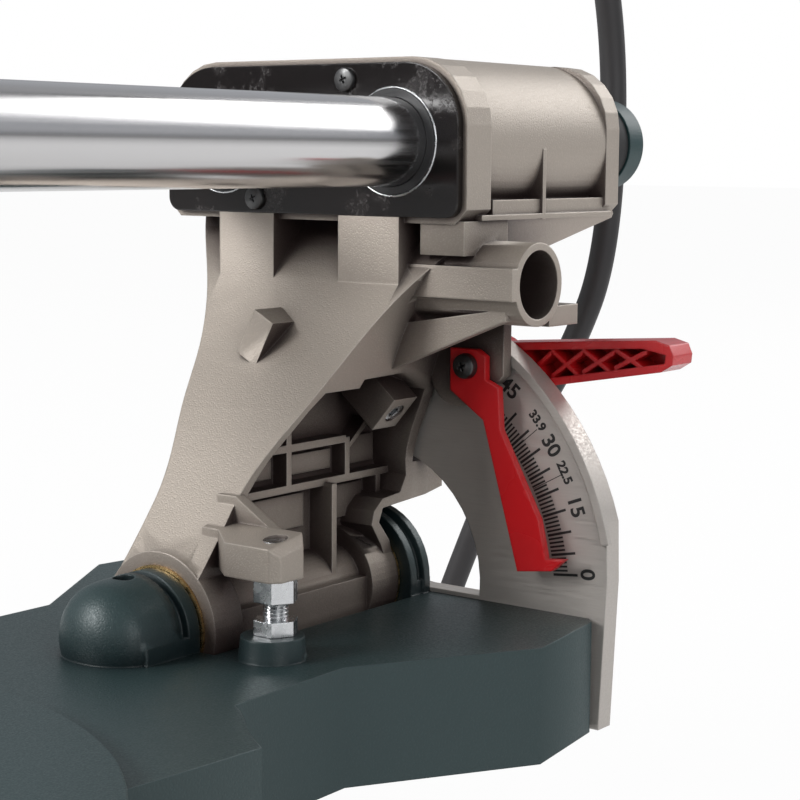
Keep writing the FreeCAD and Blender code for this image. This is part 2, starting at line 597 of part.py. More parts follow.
def mitre_handle():
    """Knob and lock screw in the nose."""
    z = "nose_under + 17"
    solid = turned("Y", [("-nose_front - 70", "0"), ("-nose_front - 70", "12"), ("-nose_front - 64", "19"),
                         ("-nose_front - 30", "21"), ("-nose_front - 14", "14"), ("-nose_front - 8", "10"),
                         ("-nose_front - 2", "10"), ("-nose_front - 2", "6"), ("24 - nose_front", "6"),
                         ("24 - nose_front", "0")], "0", z)
    flutes = []
    for i in range(6):
        angle = math.radians(60 * i)
        flutes.append(rod("Y", "7", "-nose_front - 71", "-nose_front - 20", "%.6f * 25" % math.cos(angle),
                          z + " + %.6f * 25" % math.sin(angle)))
    in_row(cut(solid, *flutes), "mitre_handle")


def detent_lever():
    """Lever in the hollow nose whose tooth stands over the rim's notches, drawn released."""
    rim = "-disc_r - well_gap - rim_wide"
    outline = [(rim + " - 4.8", "rim_z + 1"), (rim + " + 3.6", "rim_z + 1"), (rim + " + 3.6", "rim_z + 10"),
               ("22 - nose_front", "rim_z + 10"), ("13 - nose_front", "nose_under - 2"),
               ("-nose_front - 16", "nose_under - 12"), ("-nose_front - 20", "nose_under - 15"),
               ("-nose_front - 20", "nose_under - 18"), ("-nose_front - 14", "nose_under - 18"),
               ("15 - nose_front", "nose_under - 8"), ("-disc_r - 95", "nose_under - 6"),
               ("-disc_r - 85", "nose_under - 6"), ("-disc_r - 78", "rim_z + 3"), (rim + " - 7", "rim_z + 3")]
    arm = prism("YZ", [outline], "-3", "3")
    pivot = rod("X", "5", "-12", "12", "-disc_r - 90", "nose_under - 6")
    paddle = box(("-16", "16"), ("-nose_front - 22", "-nose_front - 12"), ("nose_under - 19", "nose_under - 15"))
    in_row(fuse(arm, pivot, paddle), "detent_lever")


def tilt_axle():
    body = design()
    spun(body, "Y", [("-95", "0"), ("-95", "axle_r - 1"), ("-94", "axle_r"), ("ear_rear - 2", "axle_r"),
                     ("ear_rear - 1", "axle_r - 1"), ("ear_rear - 1", "0")])
    in_arm(body, "tilt_axle")


def sector_plate():
    """Arc plate with a bolt slot, raised rim and a foot on the neck's rear face."""
    side, low = "sector_side", "sector_low"
    outer = arc_points("sector_r", "12", "118", 26)
    inner = arc_points("sector_bore", "180", "0", 20)
    rim_in = arc_points("sector_r - 3.2", "118", "12", 26)
    foot = [("98.6", "-" + low), (side, "8")]
    plate = prism("XZ", [foot + outer[1:] + [("-40", "sector_bore + 20"), ("-sector_bore - 14", "30"),
                                             ("-sector_bore - 14", "-" + low)]], "sector_y", "sector_y + sector_thick")
    hole = prism("XZ", [arc_points("sector_bore", "-5", "185", 24)], "sector_y - 1", "sector_y + sector_thick + 1")
    rim = prism("XZ", [outer + rim_in], "sector_y - 1.6", "sector_y + 1")
    middle = "(slot_start + tilt_range / 2)"
    half_turn = "(tilt_range / 2 + 1)"
    r_in, r_out = "slot_r - clamp_r - part_gap", "slot_r + clamp_r + part_gap"
    slot_line = (arc_points(r_out, middle + " - " + half_turn, middle + " + " + half_turn, 14)
                 + arc_points(r_in, middle + " + " + half_turn, middle + " - " + half_turn, 14))
    slot = prism("XZ", [slot_line], "sector_y - 2", "sector_y + sector_thick + 1")
    ends = []
    for sign in ("-", "+"):
        angle = middle + " " + sign + " tilt_range / 2"
        ends.append(rod("Y", "clamp_r + part_gap", "sector_y - 2", "sector_y + sector_thick + 1",
                        "slot_r * cos(%s)" % angle, "slot_r * sin(%s)" % angle))
    drills = []
    bolts = []
    back = "sector_y + sector_thick"
    for x, z in SECTOR_BOLTS:
        height = z + " - table_z"
        drills.append(rod("Y", "3.2", "sector_y - 1", back + " + 1", x, height))
        head = prism("XZ", [[("%s + %s" % (x, a), "%s + %s" % (height, b)) for a, b in hexagon("10")]],
                     back + " + seat", back + " + 4.5")
        bolts.append(fuse(head, rod("Y", "3", "sector_y - 11", back + " + 1", x, height)))
    in_arm(cut(fuse(plate, rim), hole, slot, *ends, *drills), "sector_plate")
    in_arm(group(*bolts), "sector_bolts")


# Tilt arm

def spline_edge(corners):
    curve = Part.BSplineCurve()
    curve.interpolate(corners)
    return curve.toShape()


def arm_web(shrink, x_half):
    """The arm between its leaning front and its rear edge, as wide as x_half each way."""
    s = shrink
    front = [(-74.6, 18), (-60, 36), (-48, 52), (-35, 68), (-20, 85), (0, 111), (20, 133)]
    front_points = [V(0, y + s, z) for y, z in front]
    rear = [(20 + s, 140), (95, 140), (num("housing_long"), 132.4), (61, 119), (47, 100), (44, 80), (46, 60),
            (49.5, 41), (60, 33.5), (60, 31), (49.5, 29.2), (23.4, 27.6), (21.2, 22.5), (27.5, 15), (29, 9.5),
            (25, 6), (24, -12), (-74.6 + s, -12)]
    corners = [front_points[-1]] + [V(0, y, z) for y, z in rear] + [front_points[0]]
    edges = [spline_edge(front_points)]
    for a, b in zip(corners, corners[1:]):
        edges.append(Part.LineSegment(a, b).toShape())
    return loop_solid("YZ", edges, -x_half, x_half)


def arm_front(margin):
    """Front view of the arm: straight waist that flares into the bearing housing."""
    waist = num("waist_half")
    curve = [(waist, 36), (waist + 2.5, 52), (27, 69), (33.3, 86), (44, 107), (56, 122), (66.5, 134)]
    right = [V(x - margin, 0, z) for x, z in curve]
    left = [V(-p.x, 0, p.z) for p in right]
    edges = [spline_edge(right), spline_edge(left)]
    corners = [right[-1], V(right[-1].x, 0, 141), V(-right[-1].x, 0, 141), left[-1]]
    for a, b in zip(corners, corners[1:]):
        edges.append(Part.LineSegment(a, b).toShape())
    foot = [right[0], V(right[0].x, 0, -12), V(-right[0].x, 0, -12), left[0]]
    for a, b in zip(foot, foot[1:]):
        edges.append(Part.LineSegment(a, b).toShape())
    return loop_solid("XZ", edges, -90, 110)


def side_pockets():
    """Open pockets in both sides of the arm, down to the middle web."""
    outline = [("-63", "4"), ("-63", "22"), ("-54.5", "37"), ("-43", "53.5"), ("-30", "69.5"), ("-24", "75"),
               ("-5.5", "75"), ("-4", "78"), ("18", "78.5"), ("34.5", "71"), ("35.5", "56"), ("36.3", "44"),
               ("37.5", "38"), ("34", "32"), ("23.5", "31"), ("18.5", "27"), ("17", "22"), ("22.5", "14"),
               ("24.5", "9.5"), ("20.5", "5.5"), ("20", "4")]
    right = prism("YZ", [outline], "web_half", "60")
    left = prism("YZ", [outline], "-60", "-web_half")
    return right, left


def side_ribs():
    """Cast rib grid and raised pads in the pockets, the same on both sides."""
    low, high = "-rib_out", "rib_out"
    ribs = [box((low, high), ("-64", "38"), ("38", "40.6")),
            box((low, high), ("-46", "12.4"), ("52.2", "54.8")),
            box((low, high), ("-20.4", "-17.8"), ("40", "76")),
            box((low, high), ("12", "14.6"), ("40", "54")),
            prism("YZ", [[("12.4", "50"), ("14.6", "50"), ("27", "59"), ("25.2", "60.6")]], low, high),
            box(("-rib_out - 4", "rib_out + 4"), ("-0.3", "2.3"), ("3", "39")),
            box((low, high), ("30.2", "32.8"), ("20", "39"))]
    pads = []
    tiles = [(-41, -23.5, 43, 50), (-15.5, 9, 43, 50), (17, 34, 43, 53), (-40, -6, 24, 36),
             (4.5, 27, 24, 36)]
    for y0, y1, z0, z1 in tiles:
        pads.append(box(("-web_half - 2", "web_half + 2"), (str(y0), str(y1)), (str(z0), str(z1))))
    return ribs + pads


def housing_block():
    """Bearing housing: front band, two barrels with ribs and a rear flange."""
    half, low, top = "housing_half", "housing_low", "housing_top"
    start = "plate_thick + seat"

    def section(inset, foot):
        r = 23.0
        corners = []
        for cx, cz, a0 in ((1, 1, 0), (-1, 1, 90)):
            for i in range(7):
                angle = a0 + 15 * i
                corners.append(("%d * (%s - %s - %.1f) + %.1f * cos(%d)" % (cx, half, inset, r, r, angle),
                                "%s - %s - %.1f + %.1f * sin(%d)" % (top, inset, r, r, angle)))
        corners += [("-(%s - %s)" % (half, inset), "%s + %s + 5" % (low, foot)),
                    ("-(%s - %s - 5)" % (half, inset), "%s + %s" % (low, foot)),
                    ("%s - %s - 5" % (half, inset), "%s + %s" % (low, foot)),
                    ("%s - %s" % (half, inset), "%s + %s + 5" % (low, foot))]
        return corners
    band = prism("XZ", [section("0", "0")], start, "17")
    flange = prism("XZ", [section("0", "0.5")], "housing_long - 9", "housing_long")
    block = box(("-" + half, half), ("12", "housing_long - 5"), (low, top))
    barrels = [rod("Y", "rail_r + barrel_wall", "11", "housing_long - 4", x, "rail_up") for x in ("rail_x", "-rail_x")]
    middle = box(("-rail_x", "rail_x"), ("11", "housing_long - 4"), (low, top))
    core = common(block, fuse(middle, *barrels))
    ledge = box(("5 - " + half, half + " - 5"), ("12", "housing_long - 5"), (low, low + " + 3"))
    ledge_side = box(("-" + half, half), ("12", "housing_long - 5"), (low + " + 1.2", low + " + 3"))
    ribs = []
    for side in (1, -1):
        s = "%d * " % side
        wedge = [(s + "rail_x", low + " + 1"), (s + "housing_half", low + " + 1"),
                 (s + "housing_half", "rail_up - 2"), (s + "(housing_half - 2)", "rail_up"), (s + "rail_x", "rail_up")]
        ribs.append(prism("XZ", [wedge], "49.2", "51.2"))
    return fuse(band, flange, core, ledge, ledge_side, *ribs)


def at_full_tilt(part):
    """Turns a part drawn as it stands at full tilt back to the upright rest."""
    obj = group(part)
    obj.Placement = Placement(V(0, 0, 0), Rotation(V(0, 1, 0), num("tilt_range")))
    obj.setExpression("Placement.Rotation.Angle", bind("tilt_range"))
    return obj


def leaned(part, x, y, z, angle):
    """A part turned about the row's Y direction and set down at a bound point."""
    obj = group(part)
    obj.Placement = Placement(V(0, 0, 0), Rotation(V(0, 1, 0), angle))
    return place(obj, x, y, z)


LUG_CORNER, LUG_LEAN = ("-2.6", "13.5", "77.2"), 41


def stop_lug():
    """Chamfered block on the arm's side that the upright stop bolt is screwed into."""
    body = design()
    low, front, rear = "stop_low", "-73.4", "-56.6"
    pad(body, "YZ", [[(front, low), (rear, low), (rear, low + " + 14"), (front, low + " + 11")]], "10", "49.5")
    pocket(body, "XY", [[("9", "-76"), ("28", "-76"), ("28", "-73.4"), ("17", "-64.5"), ("9", "-64.5")]],
           low + " - 1", low + " + 16")
    edge_round(body, "3", lambda m, e: m.x > 49 and m.z > num(low) + 0.5, "PartDesign::Chamfer")
    edge_round(body, "1.2", lambda m, e: m.x > 45 and m.z > num(low) + 1)
    return body


def tilt_arm():
    """Casting with the pivot hub, the leaning ribbed web and the bearing housing."""
    body = made(arm_web(0, num("housing_half")).common(arm_front(0)))
    right, left = side_pockets()
    ribs = common(fuse(*side_ribs()), made(arm_web(0.5, 40)))
    hub = [rod("Y", "hub_out_r", "-hub_front", "-61"), rod("Y", "bush_r + 3.6", "-62", "20"),
           rod("Y", "bush_flange_r", "14", "hub_rear")]
    bosses = [box(("-40.5", "-14.6"), ("0", "30"), ("111", "housing_low + 2")),
              box(("15.1", "41.5"), ("0", "30"), ("110.5", "housing_low + 2")),
              box(("47.8", "66"), ("4", "30"), ("121.5", "housing_low + 1"))]
    tube = [rod("X", "tube_r", "30", "tube_end", "tube_y", "tube_z"),
            box(("40", "tube_end"), ("5", "tube_y"), ("107", "118")),
            prism("XZ", [[("30", "80"), ("tube_end - 6", "tube_z - 12"), ("tube_end - 6", "tube_z - 8"),
                          ("30", "96")]], "10", "14"),
            box(("58", "tube_end - 2"), ("tube_y + 10", "49"), ("97", "104"))]
    bracket = prism("XZ", [[("28", "96"), ("32", "78"), ("35", "75"), ("58", "75"), ("61", "78"), ("61", "104"),
                            ("45", "112")]], "36", "sector_y - 2")
    boss_x, boss_z = "slot_r * cos(slot_start)", "slot_r * sin(slot_start)"
    clamp_boss = rod("Y", "12", "36", "sector_y - 1.2 - part_gap", boss_x, boss_z)
    lug = leaned(box(("0", "9.5"), ("-22", "-8"), ("0", "17.5")), "-12.5", "0", "86", 28)
    stop = stop_lug()
    stop_top = prism("XZ", [[("10", "30"), ("38", "31"), ("18", "43"), ("10", "43")]], "-57", "-52.5")
    left_stop = at_full_tilt(box(("-pad_x - 13", "7 - pad_x"), ("-24", "-2"), ("12.5", "34")))
    angled = leaned(box(("0", "30"), ("0", "13.5"), ("0", "15.2")), *LUG_CORNER, LUG_LEAN)
    screw_hole = leaned(rod("X", "4.1", "18", "31", "6.75", "7.6"), *LUG_CORNER, LUG_LEAN)
    solid = fuse(cut(body, right, left), ribs, housing_block(), bracket, clamp_boss, lug, stop, stop_top,
                 left_stop, angled, *hub, *bosses, *tube)
    tools = [rod("Y", "bush_r + run_gap", "-hub_front - 1", "hub_rear + 1"),
             rod("X", "tube_bore_r", "36", "tube_end + 1", "tube_y", "tube_z"),
             rod("Y", "4.05", "36.1", "sector_y", boss_x, boss_z),
             rod("X", "4.55", "-housing_half - 1", "-rail_x", "housing_long - 6.5", "rail_up"),
             ring_solid("Y", "sector_r + 1.5", "sector_bore - 1.4", "sector_y - 2", "sector_y + 14"),
             rod("Z", "4.05", "10", "40", "stop_x", "-stop_y"),
             at_full_tilt(rod("Z", "4.05", "10", "30", "-pad_x - 3", "-13")), screw_hole,
             rod("Y", "2.6", "30", "sector_y", "47.4", "80.9")]
    for x in ("rail_x", "-rail_x"):
        tools.append(rod("Y", "(rail_r + bearing_wall) + seat", "plate_thick", "housing_long + 1", x, "rail_up"))
    in_arm(cut(solid, *tools), "tilt_arm")


PLATE_SCREWS = (("18.3", "180.5"), ("-22.9", "139.3"))


def cover_plate():
    """Black front plate with two rail holes and large upper corners."""
    body = design()
    w, low, top = "plate_half", "plate_low", "plate_top"
    pad(body, "XZ", [[("-" + w, low), (w, low), (w, top), ("-" + w, top)],
                     ("o", "rail_x", "rail_up", "(rail_r + wiper_wall) + seat"), ("o", "-rail_x", "rail_up", "(rail_r + wiper_wall) + seat")],
        "0", "plate_thick")
    edge_round(body, "22", lambda m, e: along(e, "y") and m.z > num("plate_top") - 1)
    edge_round(body, "5", lambda m, e: along(e, "y") and m.z < num("plate_low") + 1)
    pocket(body, "XZ", [("o", x, z, "2.1") for x, z in PLATE_SCREWS], "-1", "plate_thick + 1")
    in_arm(body, "cover_plate")


def cover_plate_screws():
    screws = []
    for x, z in PLATE_SCREWS:
        screws.append(turned("Y", [("-1.8", "0"), ("-1.8", "2.6"), ("-0.05", "4.2"), ("-0.05", "2"),
                                   ("plate_thick", "2"), ("plate_thick", "0")], x, z))
    in_arm(group(*screws), "cover_plate_screws")


def rail_guides():
    """Linear bearings in the housing and wipers in the cover plate."""
    bearings, wipers = [], []
    for x in ("rail_x", "-rail_x"):
        bearings.append(ring_solid("Y", "rail_r + bearing_wall", "rail_r + run_gap", "22", "22 + bearing_long", x, "rail_up"))
        wipers.append(ring_solid("Y", "rail_r + wiper_wall", "rail_r + 0.08", "-0.9", "plate_thick", x, "rail_up"))
    in_arm(group(*bearings), "rail_bearings")
    in_arm(group(*wipers), "rail_wipers")


def pivot_bushes():
    front = turned("Y", [("-hub_front - ear_gap + 0.25", "axle_r + run_gap"),
                         ("-hub_front - ear_gap + 0.25", "bush_flange_r"), ("-hub_front - 0.02", "bush_flange_r"),
                         ("-hub_front - 0.02", "bush_r"), ("-40", "bush_r"), ("-40", "axle_r + run_gap")])
    rear = turned("Y", [("hub_rear + 1", "axle_r + run_gap"), ("hub_rear + 1", "bush_flange_r"),
                        ("hub_rear + 0.02", "bush_flange_r"), ("hub_rear + 0.02", "bush_r"), ("-5", "bush_r"),
                        ("-5", "axle_r + run_gap")])
    in_arm(group(front, rear), "pivot_bushes")


def tilt_pointer():
    """Red pointer on the bracket, bent towards the scale."""
    body = design()
    pad(body, "XZ", [[("40.2", "71.9"), ("54.7", "62.1"), ("70.1", "9.7"), ("84.3", "11.6"), ("89.5", "16.2"),
                      ("81.7", "15.4"), ("78.5", "29"), ("62", "59.2"), ("60.9", "74"), ("55.3", "76.4"),
                      ("55.2", "84.6"), ("51.3", "87"), ("40.2", "87")],
                     ("o", "47.4", "80.9", "2.7")], "32.9", "35.9")
    in_arm(body, "tilt_pointer")


def hexagon(across):
    """Corner words of a hexagon by its width across flats."""
    return arc_points("(%s) / 1.7321" % across, "0", "300", 5)


def hex_prism(across, low, high, x, y):
    """A vertical hexagon block."""
    obj = prism("XY", [hexagon(across)], low, high)
    return moved(obj, x, y)


def moved(part, x, y="0", z="0"):
    return place(group(part), x, y, z)


def arm_fasteners():
    """Screws, stop bolts with their lock nuts and the bolt that clamps the tilt."""
    body = design()
    spun(body, "Y", [("29.6", "0"), ("29.6", "3.6"), ("30.4", "4.6"), ("32.8", "4.6"), ("32.8", "2.5"),
                     ("sector_y - 2.4", "2.5"), ("sector_y - 2.4", "0")])
    place(body, "47.4", "plate_y", "table_z + 80.9")
    in_row(body, "pointer_screw")
    bolts, nuts = [], []
    stops = (("stop_x", "-stop_y", "stop_low", False), ("-pad_x - 3", "-13", "12.5", True))
    for x, y, lug_z, turned_back in stops:
        bolt = fuse(hex_prism("13", "pad_top + seat", "pad_top + 5", x, y),
                    rod("Z", "4", "pad_top + 4", lug_z + " + 12", x, y))
        nut = cut(hex_prism("13", "max(pad_top + 6; %s - 7.5)" % lug_z, lug_z + " - seat", x, y),
                  rod("Z", "4.05", "0", "25", x, y))
        bolts.append(at_full_tilt(bolt) if turned_back else bolt)
        nuts.append(at_full_tilt(nut) if turned_back else nut)
    in_arm(group(*bolts), "tilt_stop_bolts")
    in_arm(group(*nuts), "tilt_stop_nuts")
    screw = cut(rod("X", "4", "19", "29.4", "6.75", "7.6"),
                prism("YZ", [[("6.75 + " + a, "7.6 + " + b) for a, b in hexagon("4")]], "26", "30"))
    in_arm(group(leaned(screw, *LUG_CORNER, LUG_LEAN)), "lug_screw")
    x, z = "slot_r * cos(slot_start)", "slot_r * sin(slot_start)"
    rear = "sector_y + sector_thick"
    nut_ring = prism("XZ", [[("%s + %s" % (x, a), "%s + %s" % (z, b)) for a, b in hexagon("15")]],
                     rear + " + 14.4", rear + " + 21")
    in_arm(fuse(rod("Y", "4", "36.2", "sector_y", x, z), rod("Y", "clamp_r", "sector_y - 1.5", rear + " + 20", x, z),
                nut_ring), "tilt_clamp_bolt")


def tilt_lever():
    """Red lever with an open lattice, on the clamp bolt behind the sector plate."""
    x, z = "slot_r * cos(slot_start)", "slot_r * sin(slot_start)"
    near, far = "sector_y + sector_thick + 0.5", "sector_y + sector_thick + 14"
    outline = [("36", "86.2"), ("49", "88"), ("83", "90.6"), ("113", "92.8"), ("121", "91.4"), ("124.9", "87.8"),
               ("124.2", "84.7"), ("115.4", "82"), ("89.6", "77.3"), ("64.7", "72.8"), ("50", "69.5"), ("42", "67")]
    inner = [("57", "85.8"), ("83", "87.8"), ("108", "89.6"), ("118", "88"), ("117", "85"), ("108", "83.4"),
             ("86", "79.4"), ("60", "74.8")]
    body = fuse(prism("XZ", [outline], near, far), rod("Y", "12", near, far, x, z))
    opening = prism("XZ", [inner], near + " - 1", far + " - 2.4")
    bars = []
    for i in range(4):
        left = 57 + 13 * i
        low, high = 74.6 + 2.4 * i, 85.6 + 1.0 * i
        for a, b in ((low, high), (high, low)):
            bars.append(prism("XZ", [[(str(left), str(a - 0.9)), (str(left + 13), str(b - 0.9)),
                                      (str(left + 13), str(b + 0.9)), (str(left), str(a + 0.9))]],
                              near + " + 1.5", far + " - 1"))
    solid = fuse(cut(body, opening), common(fuse(*bars), prism("XZ", [outline], near, far)))
    in_arm(cut(solid, rod("Y", "clamp_r + run_gap", near + " - 1", far + " + 1", x, z)), "tilt_lever")


def slide_lock_knob():
    """Knob screw that presses on the left rail."""
    out = "-housing_half"
    knob = turned("X", [(out + " - 30", "0"), (out + " - 30", "10"), (out + " - 26", "15"), (out + " - 10", "16"),
                        (out + " - 4", "10"), (out + " - 1", "10"), (out + " - 1", "4.5"),
                        ("-rail_x - rail_r - 0.5", "4.5"), ("-rail_x - rail_r - 0.5", "0")],
                  "housing_long - 6.5", "rail_up")
    in_arm(knob, "slide_lock_knob")


# Carriage

def slide_rails():
    tubes = []
    for x in ("rail_x", "-rail_x"):
        tube = ring_solid("Y", "rail_r", "rail_r - rail_wall", "bracket_rear - bracket_long + 4",
                          "plate_y + cap_end - 5", x, "table_z + rail_up")
        tubes.append(tube)
    in_row(group(*tubes), "slide_rails")
    bumpers, caps = [], []
    start = "housing_long + 0.6"
    for x in ("rail_x", "-rail_x"):
        bumpers.append(ring_solid("Y", "(rail_r + cap_proud) - 0.8", "rail_r + seat", start, "cap_end - 11.6", x, "rail_up"))
        caps.append(turned("Y", [("cap_end - 11.5", "rail_r + seat"), ("cap_end - 11.5", "rail_r + cap_proud"),
                                 ("cap_end - 1.6", "rail_r + cap_proud"), ("cap_end", "(rail_r + cap_proud) - 1.6"), ("cap_end", "0"),
                                 ("cap_end - 4.8", "0"), ("cap_end - 4.8", "rail_r + seat")], x, "rail_up"))
    in_arm(group(*bumpers), "rail_bumpers")
    in_arm(group(*caps), "rail_end_caps")


def rail_bracket():
    """Bridge on the rails with two ears for the chop axle."""
    front, rear = "bracket_rear - bracket_long", "bracket_rear"
    z = "table_z + rail_up"
    block = fuse(rod("Y", "24", front, rear, "rail_x", z), rod("Y", "24", front, rear, "-rail_x", z),
                 box(("-rail_x", "rail_x"), (front, rear), (z + " - 20", z + " + 24")),
                 box(("rail_x", "rail_x + 23"), (front, rear), (z, z + " + 24")),
                 box(("-rail_x - 23", "-rail_x"), (front, rear), (z, z + " + 24")))
    ears = []
    for side in (1, -1):
        low, high = ("ear_in", "ear_out") if side > 0 else ("-ear_out", "-ear_in")
        plate = prism("YZ", [[(front + " + 6", z + " + 20"), (rear + " - 4", z + " + 20"),
                              ("chop_y + 15.5", "table_z + chop_up"), ("chop_y - 15.5", "table_z + chop_up")]], low, high)
        ears += [plate, rod("X", "16", low, high, "chop_y", "table_z + chop_up")]
    gland_seat = rod("Z", "cord_r + 4.5", z, z + " + 26", "gland_x", "gland_y")
    solid = fuse(block, *ears, gland_seat)
    tools = [rod("X", "chop_axle_r + run_gap", "-ear_out - 1", "ear_out + 1", "chop_y", "table_z + chop_up"),
             rod("X", "3.05", "ear_in - 1", "ear_out + 1", "chop_y", "(table_z + chop_up) - lock_drop"),
             box(("21", "ear_in"), (front + " - 1", "14"), ("(table_z + chop_up) - 33.2", "table_z + chop_up")),
             box(("-ear_in", "-21"), (front + " - 1", "14"), ("(table_z + chop_up) - 33.2", "table_z + chop_up")),
             rod("Z", "cord_r + 1.3", z + " + 12", z + " + 27", "gland_x", "gland_y")]
    for x in ("rail_x", "-rail_x"):
        tools.append(rod("Y", "rail_r + seat", front + " + 3.5", rear + " + 1", x, z))
    in_row(cut(solid, *tools), "rail_bracket")
    axle = design()
    spun(axle, "X", [("-ear_out - 4", "0"), ("-ear_out - 4", "10"), ("-ear_out - 0.3", "10"),
                     ("-ear_out - 0.3", "chop_axle_r"), ("ear_out + 5", "chop_axle_r"), ("ear_out + 6", "6"),
                     ("ear_out + 6", "0")])
    place(axle, "0", "chop_y", "table_z + chop_up")
    in_row(axle, "chop_axle")
    pin = design()
    spun(pin, "X", [("ear_in + 1", "0"), ("ear_in + 1", "3"), ("ear_out + 19", "3"), ("ear_out + 19", "7"),
                    ("ear_out + 27", "7"), ("ear_out + 29", "5"), ("ear_out + 29", "0")])
    place(pin, "0", "chop_y", "(table_z + chop_up) - lock_drop")
    in_row(pin, "head_lock_pin")
    in_row(ring_solid("X", "11.5", "chop_axle_r + 0.6", "-17", "17", "chop_y", "table_z + chop_up"), "return_spring")
    gland = turned("Z", [("12.5", "cord_r + seat"), ("12.5", "cord_r + 1.25"), ("26.1", "cord_r + 1.25"),
                         ("26.1", "cord_r + 3.5"), ("32", "cord_r + 3.5"), ("33", "cord_r + 2.3"),
                         ("58", "cord_r + 1.4"), ("58", "cord_r + seat")],
                   "gland_x", "gland_y", z)
    in_row(gland, "cord_gland")


# Saw head, drawn about the chop pivot with the saw down

def radial(angle, reach):
    """A corner at an angle round the arbor, in the YZ plane."""
    return ("-blade_y + (%s) * cos(%s)" % (reach, angle), "-blade_down + (%s) * sin(%s)" % (reach, angle))


def upper_guard():
    """Die-cast blade guard, gear case and swing arm in one casting."""
    centre = ("-blade_y", "-blade_down")
    motor = ("25 - blade_y", "24.5 - blade_down")
    out_r = "guard_in_r + guard_wall"
    out_half = "guard_in_half + guard_wall"
    shell = rod("X", out_r, "-(%s)" % out_half, out_half, *centre)
    room = rod("X", "guard_in_r", "-guard_in_half", "guard_in_half", *centre)
    open_low = prism("YZ", [[centre, radial("-8", "400"), radial("-60", "400"), radial("240", "400"),
                             radial("204", "400")]], "-60", "60")
    beam = prism("YZ", [[("2", "15.5"), ("-60", "24"), ("-128", "46"), ("-170", "46"), ("-130", "-40"), ("-60", "-20"),
                         ("2", "-15.5")]], "-guard_in_half - guard_wall", "guard_in_half + guard_wall")
    cross = prism("YZ", [[("2", "15.5"), ("-34", "18"), ("-44", "0"), ("-34", "-12"), ("2", "-15.5")]],
                  "0.6 - ear_in", "ear_in - 0.6")
    knuckle = rod("X", "16", "0.6 - ear_in", "ear_in - 0.6", "0", "0")
    lobe = fuse(rod("X", "6.5", "23", "ear_in - 0.6", "0", "-lock_drop"),
                box(("23", "ear_in - 0.6"), ("-6.5", "6.5"), ("-lock_drop", "-10")))
    case = fuse(rod("X", "36", out_half, "case_out", *centre), rod("X", "48", out_half, "case_out", *motor),
                prism("YZ", [[radial("225", "36"), radial("45", "36"), radial("75", "66"), radial("150", "40")]],
                      "guard_in_half", "case_out"))
    nose = rod("X", "nose_r", "6.4", "guard_in_half + 1", *centre)
    port_tube = dust_tube("port_r + 3", "0", "8 + port_long")
    port_bore = dust_tube("port_r", "8", "9 + port_long")
    throat = dust_tube("guard_in_half - 1", "-6", "9")
    solid = fuse(cut(shell, open_low), beam, cross, knuckle, lobe, port_tube)
    solid = cut(solid, room, port_bore, throat)
    solid = fuse(solid, case, nose)
    tools = [rod("X", "arbor_r + run_gap", "6", "30", *centre), rod("X", "arbor_r - 4 + run_gap", "30", "case_out - 3", *centre),
             rod("X", "gear_r + 1.5", "24", "36", *centre), rod("X", "pinion_r + 1.5", "24", "case_out + 1", *motor),
             rod("X", "chop_axle_r + run_gap", "-ear_in", "ear_in", "0", "0"),
             rod("X", "26", "-guard_in_half - guard_wall - 1", "1 - guard_in_half", *centre),
             prism("YZ", [[("-18", "-17"), ("20", "-17"), ("20", "17"), ("-6", "17"), ("-18", "10")]], "-19", "19"),
             rod("X", "3.15", "22", "ear_in", "0", "-lock_drop"),
             rod("Z", "5.05", "-blade_down + 17", "0", "30", "-blade_y - 28"),
             rod("Z", "8.5", "-blade_down + 35.4", "0", "30", "-blade_y - 28")]
    in_head(cut(solid, *tools), "upper_guard")


def dust_tube(radius, start, end):
    """A rod along the dust port, which points up and back from the guard."""
    obj = rod("Z", radius, start, end)
    turned_rod = group(obj)
    turned_rod.Placement = Placement(V(0, 0, 0), Rotation(V(1, 0, 0), -30))
    for axis, text in zip("xyz", ("0",) + radial("60", "guard_in_r - 2")):
        turned_rod.setExpression("Placement.Base." + axis, bind(text))
    return turned_rod


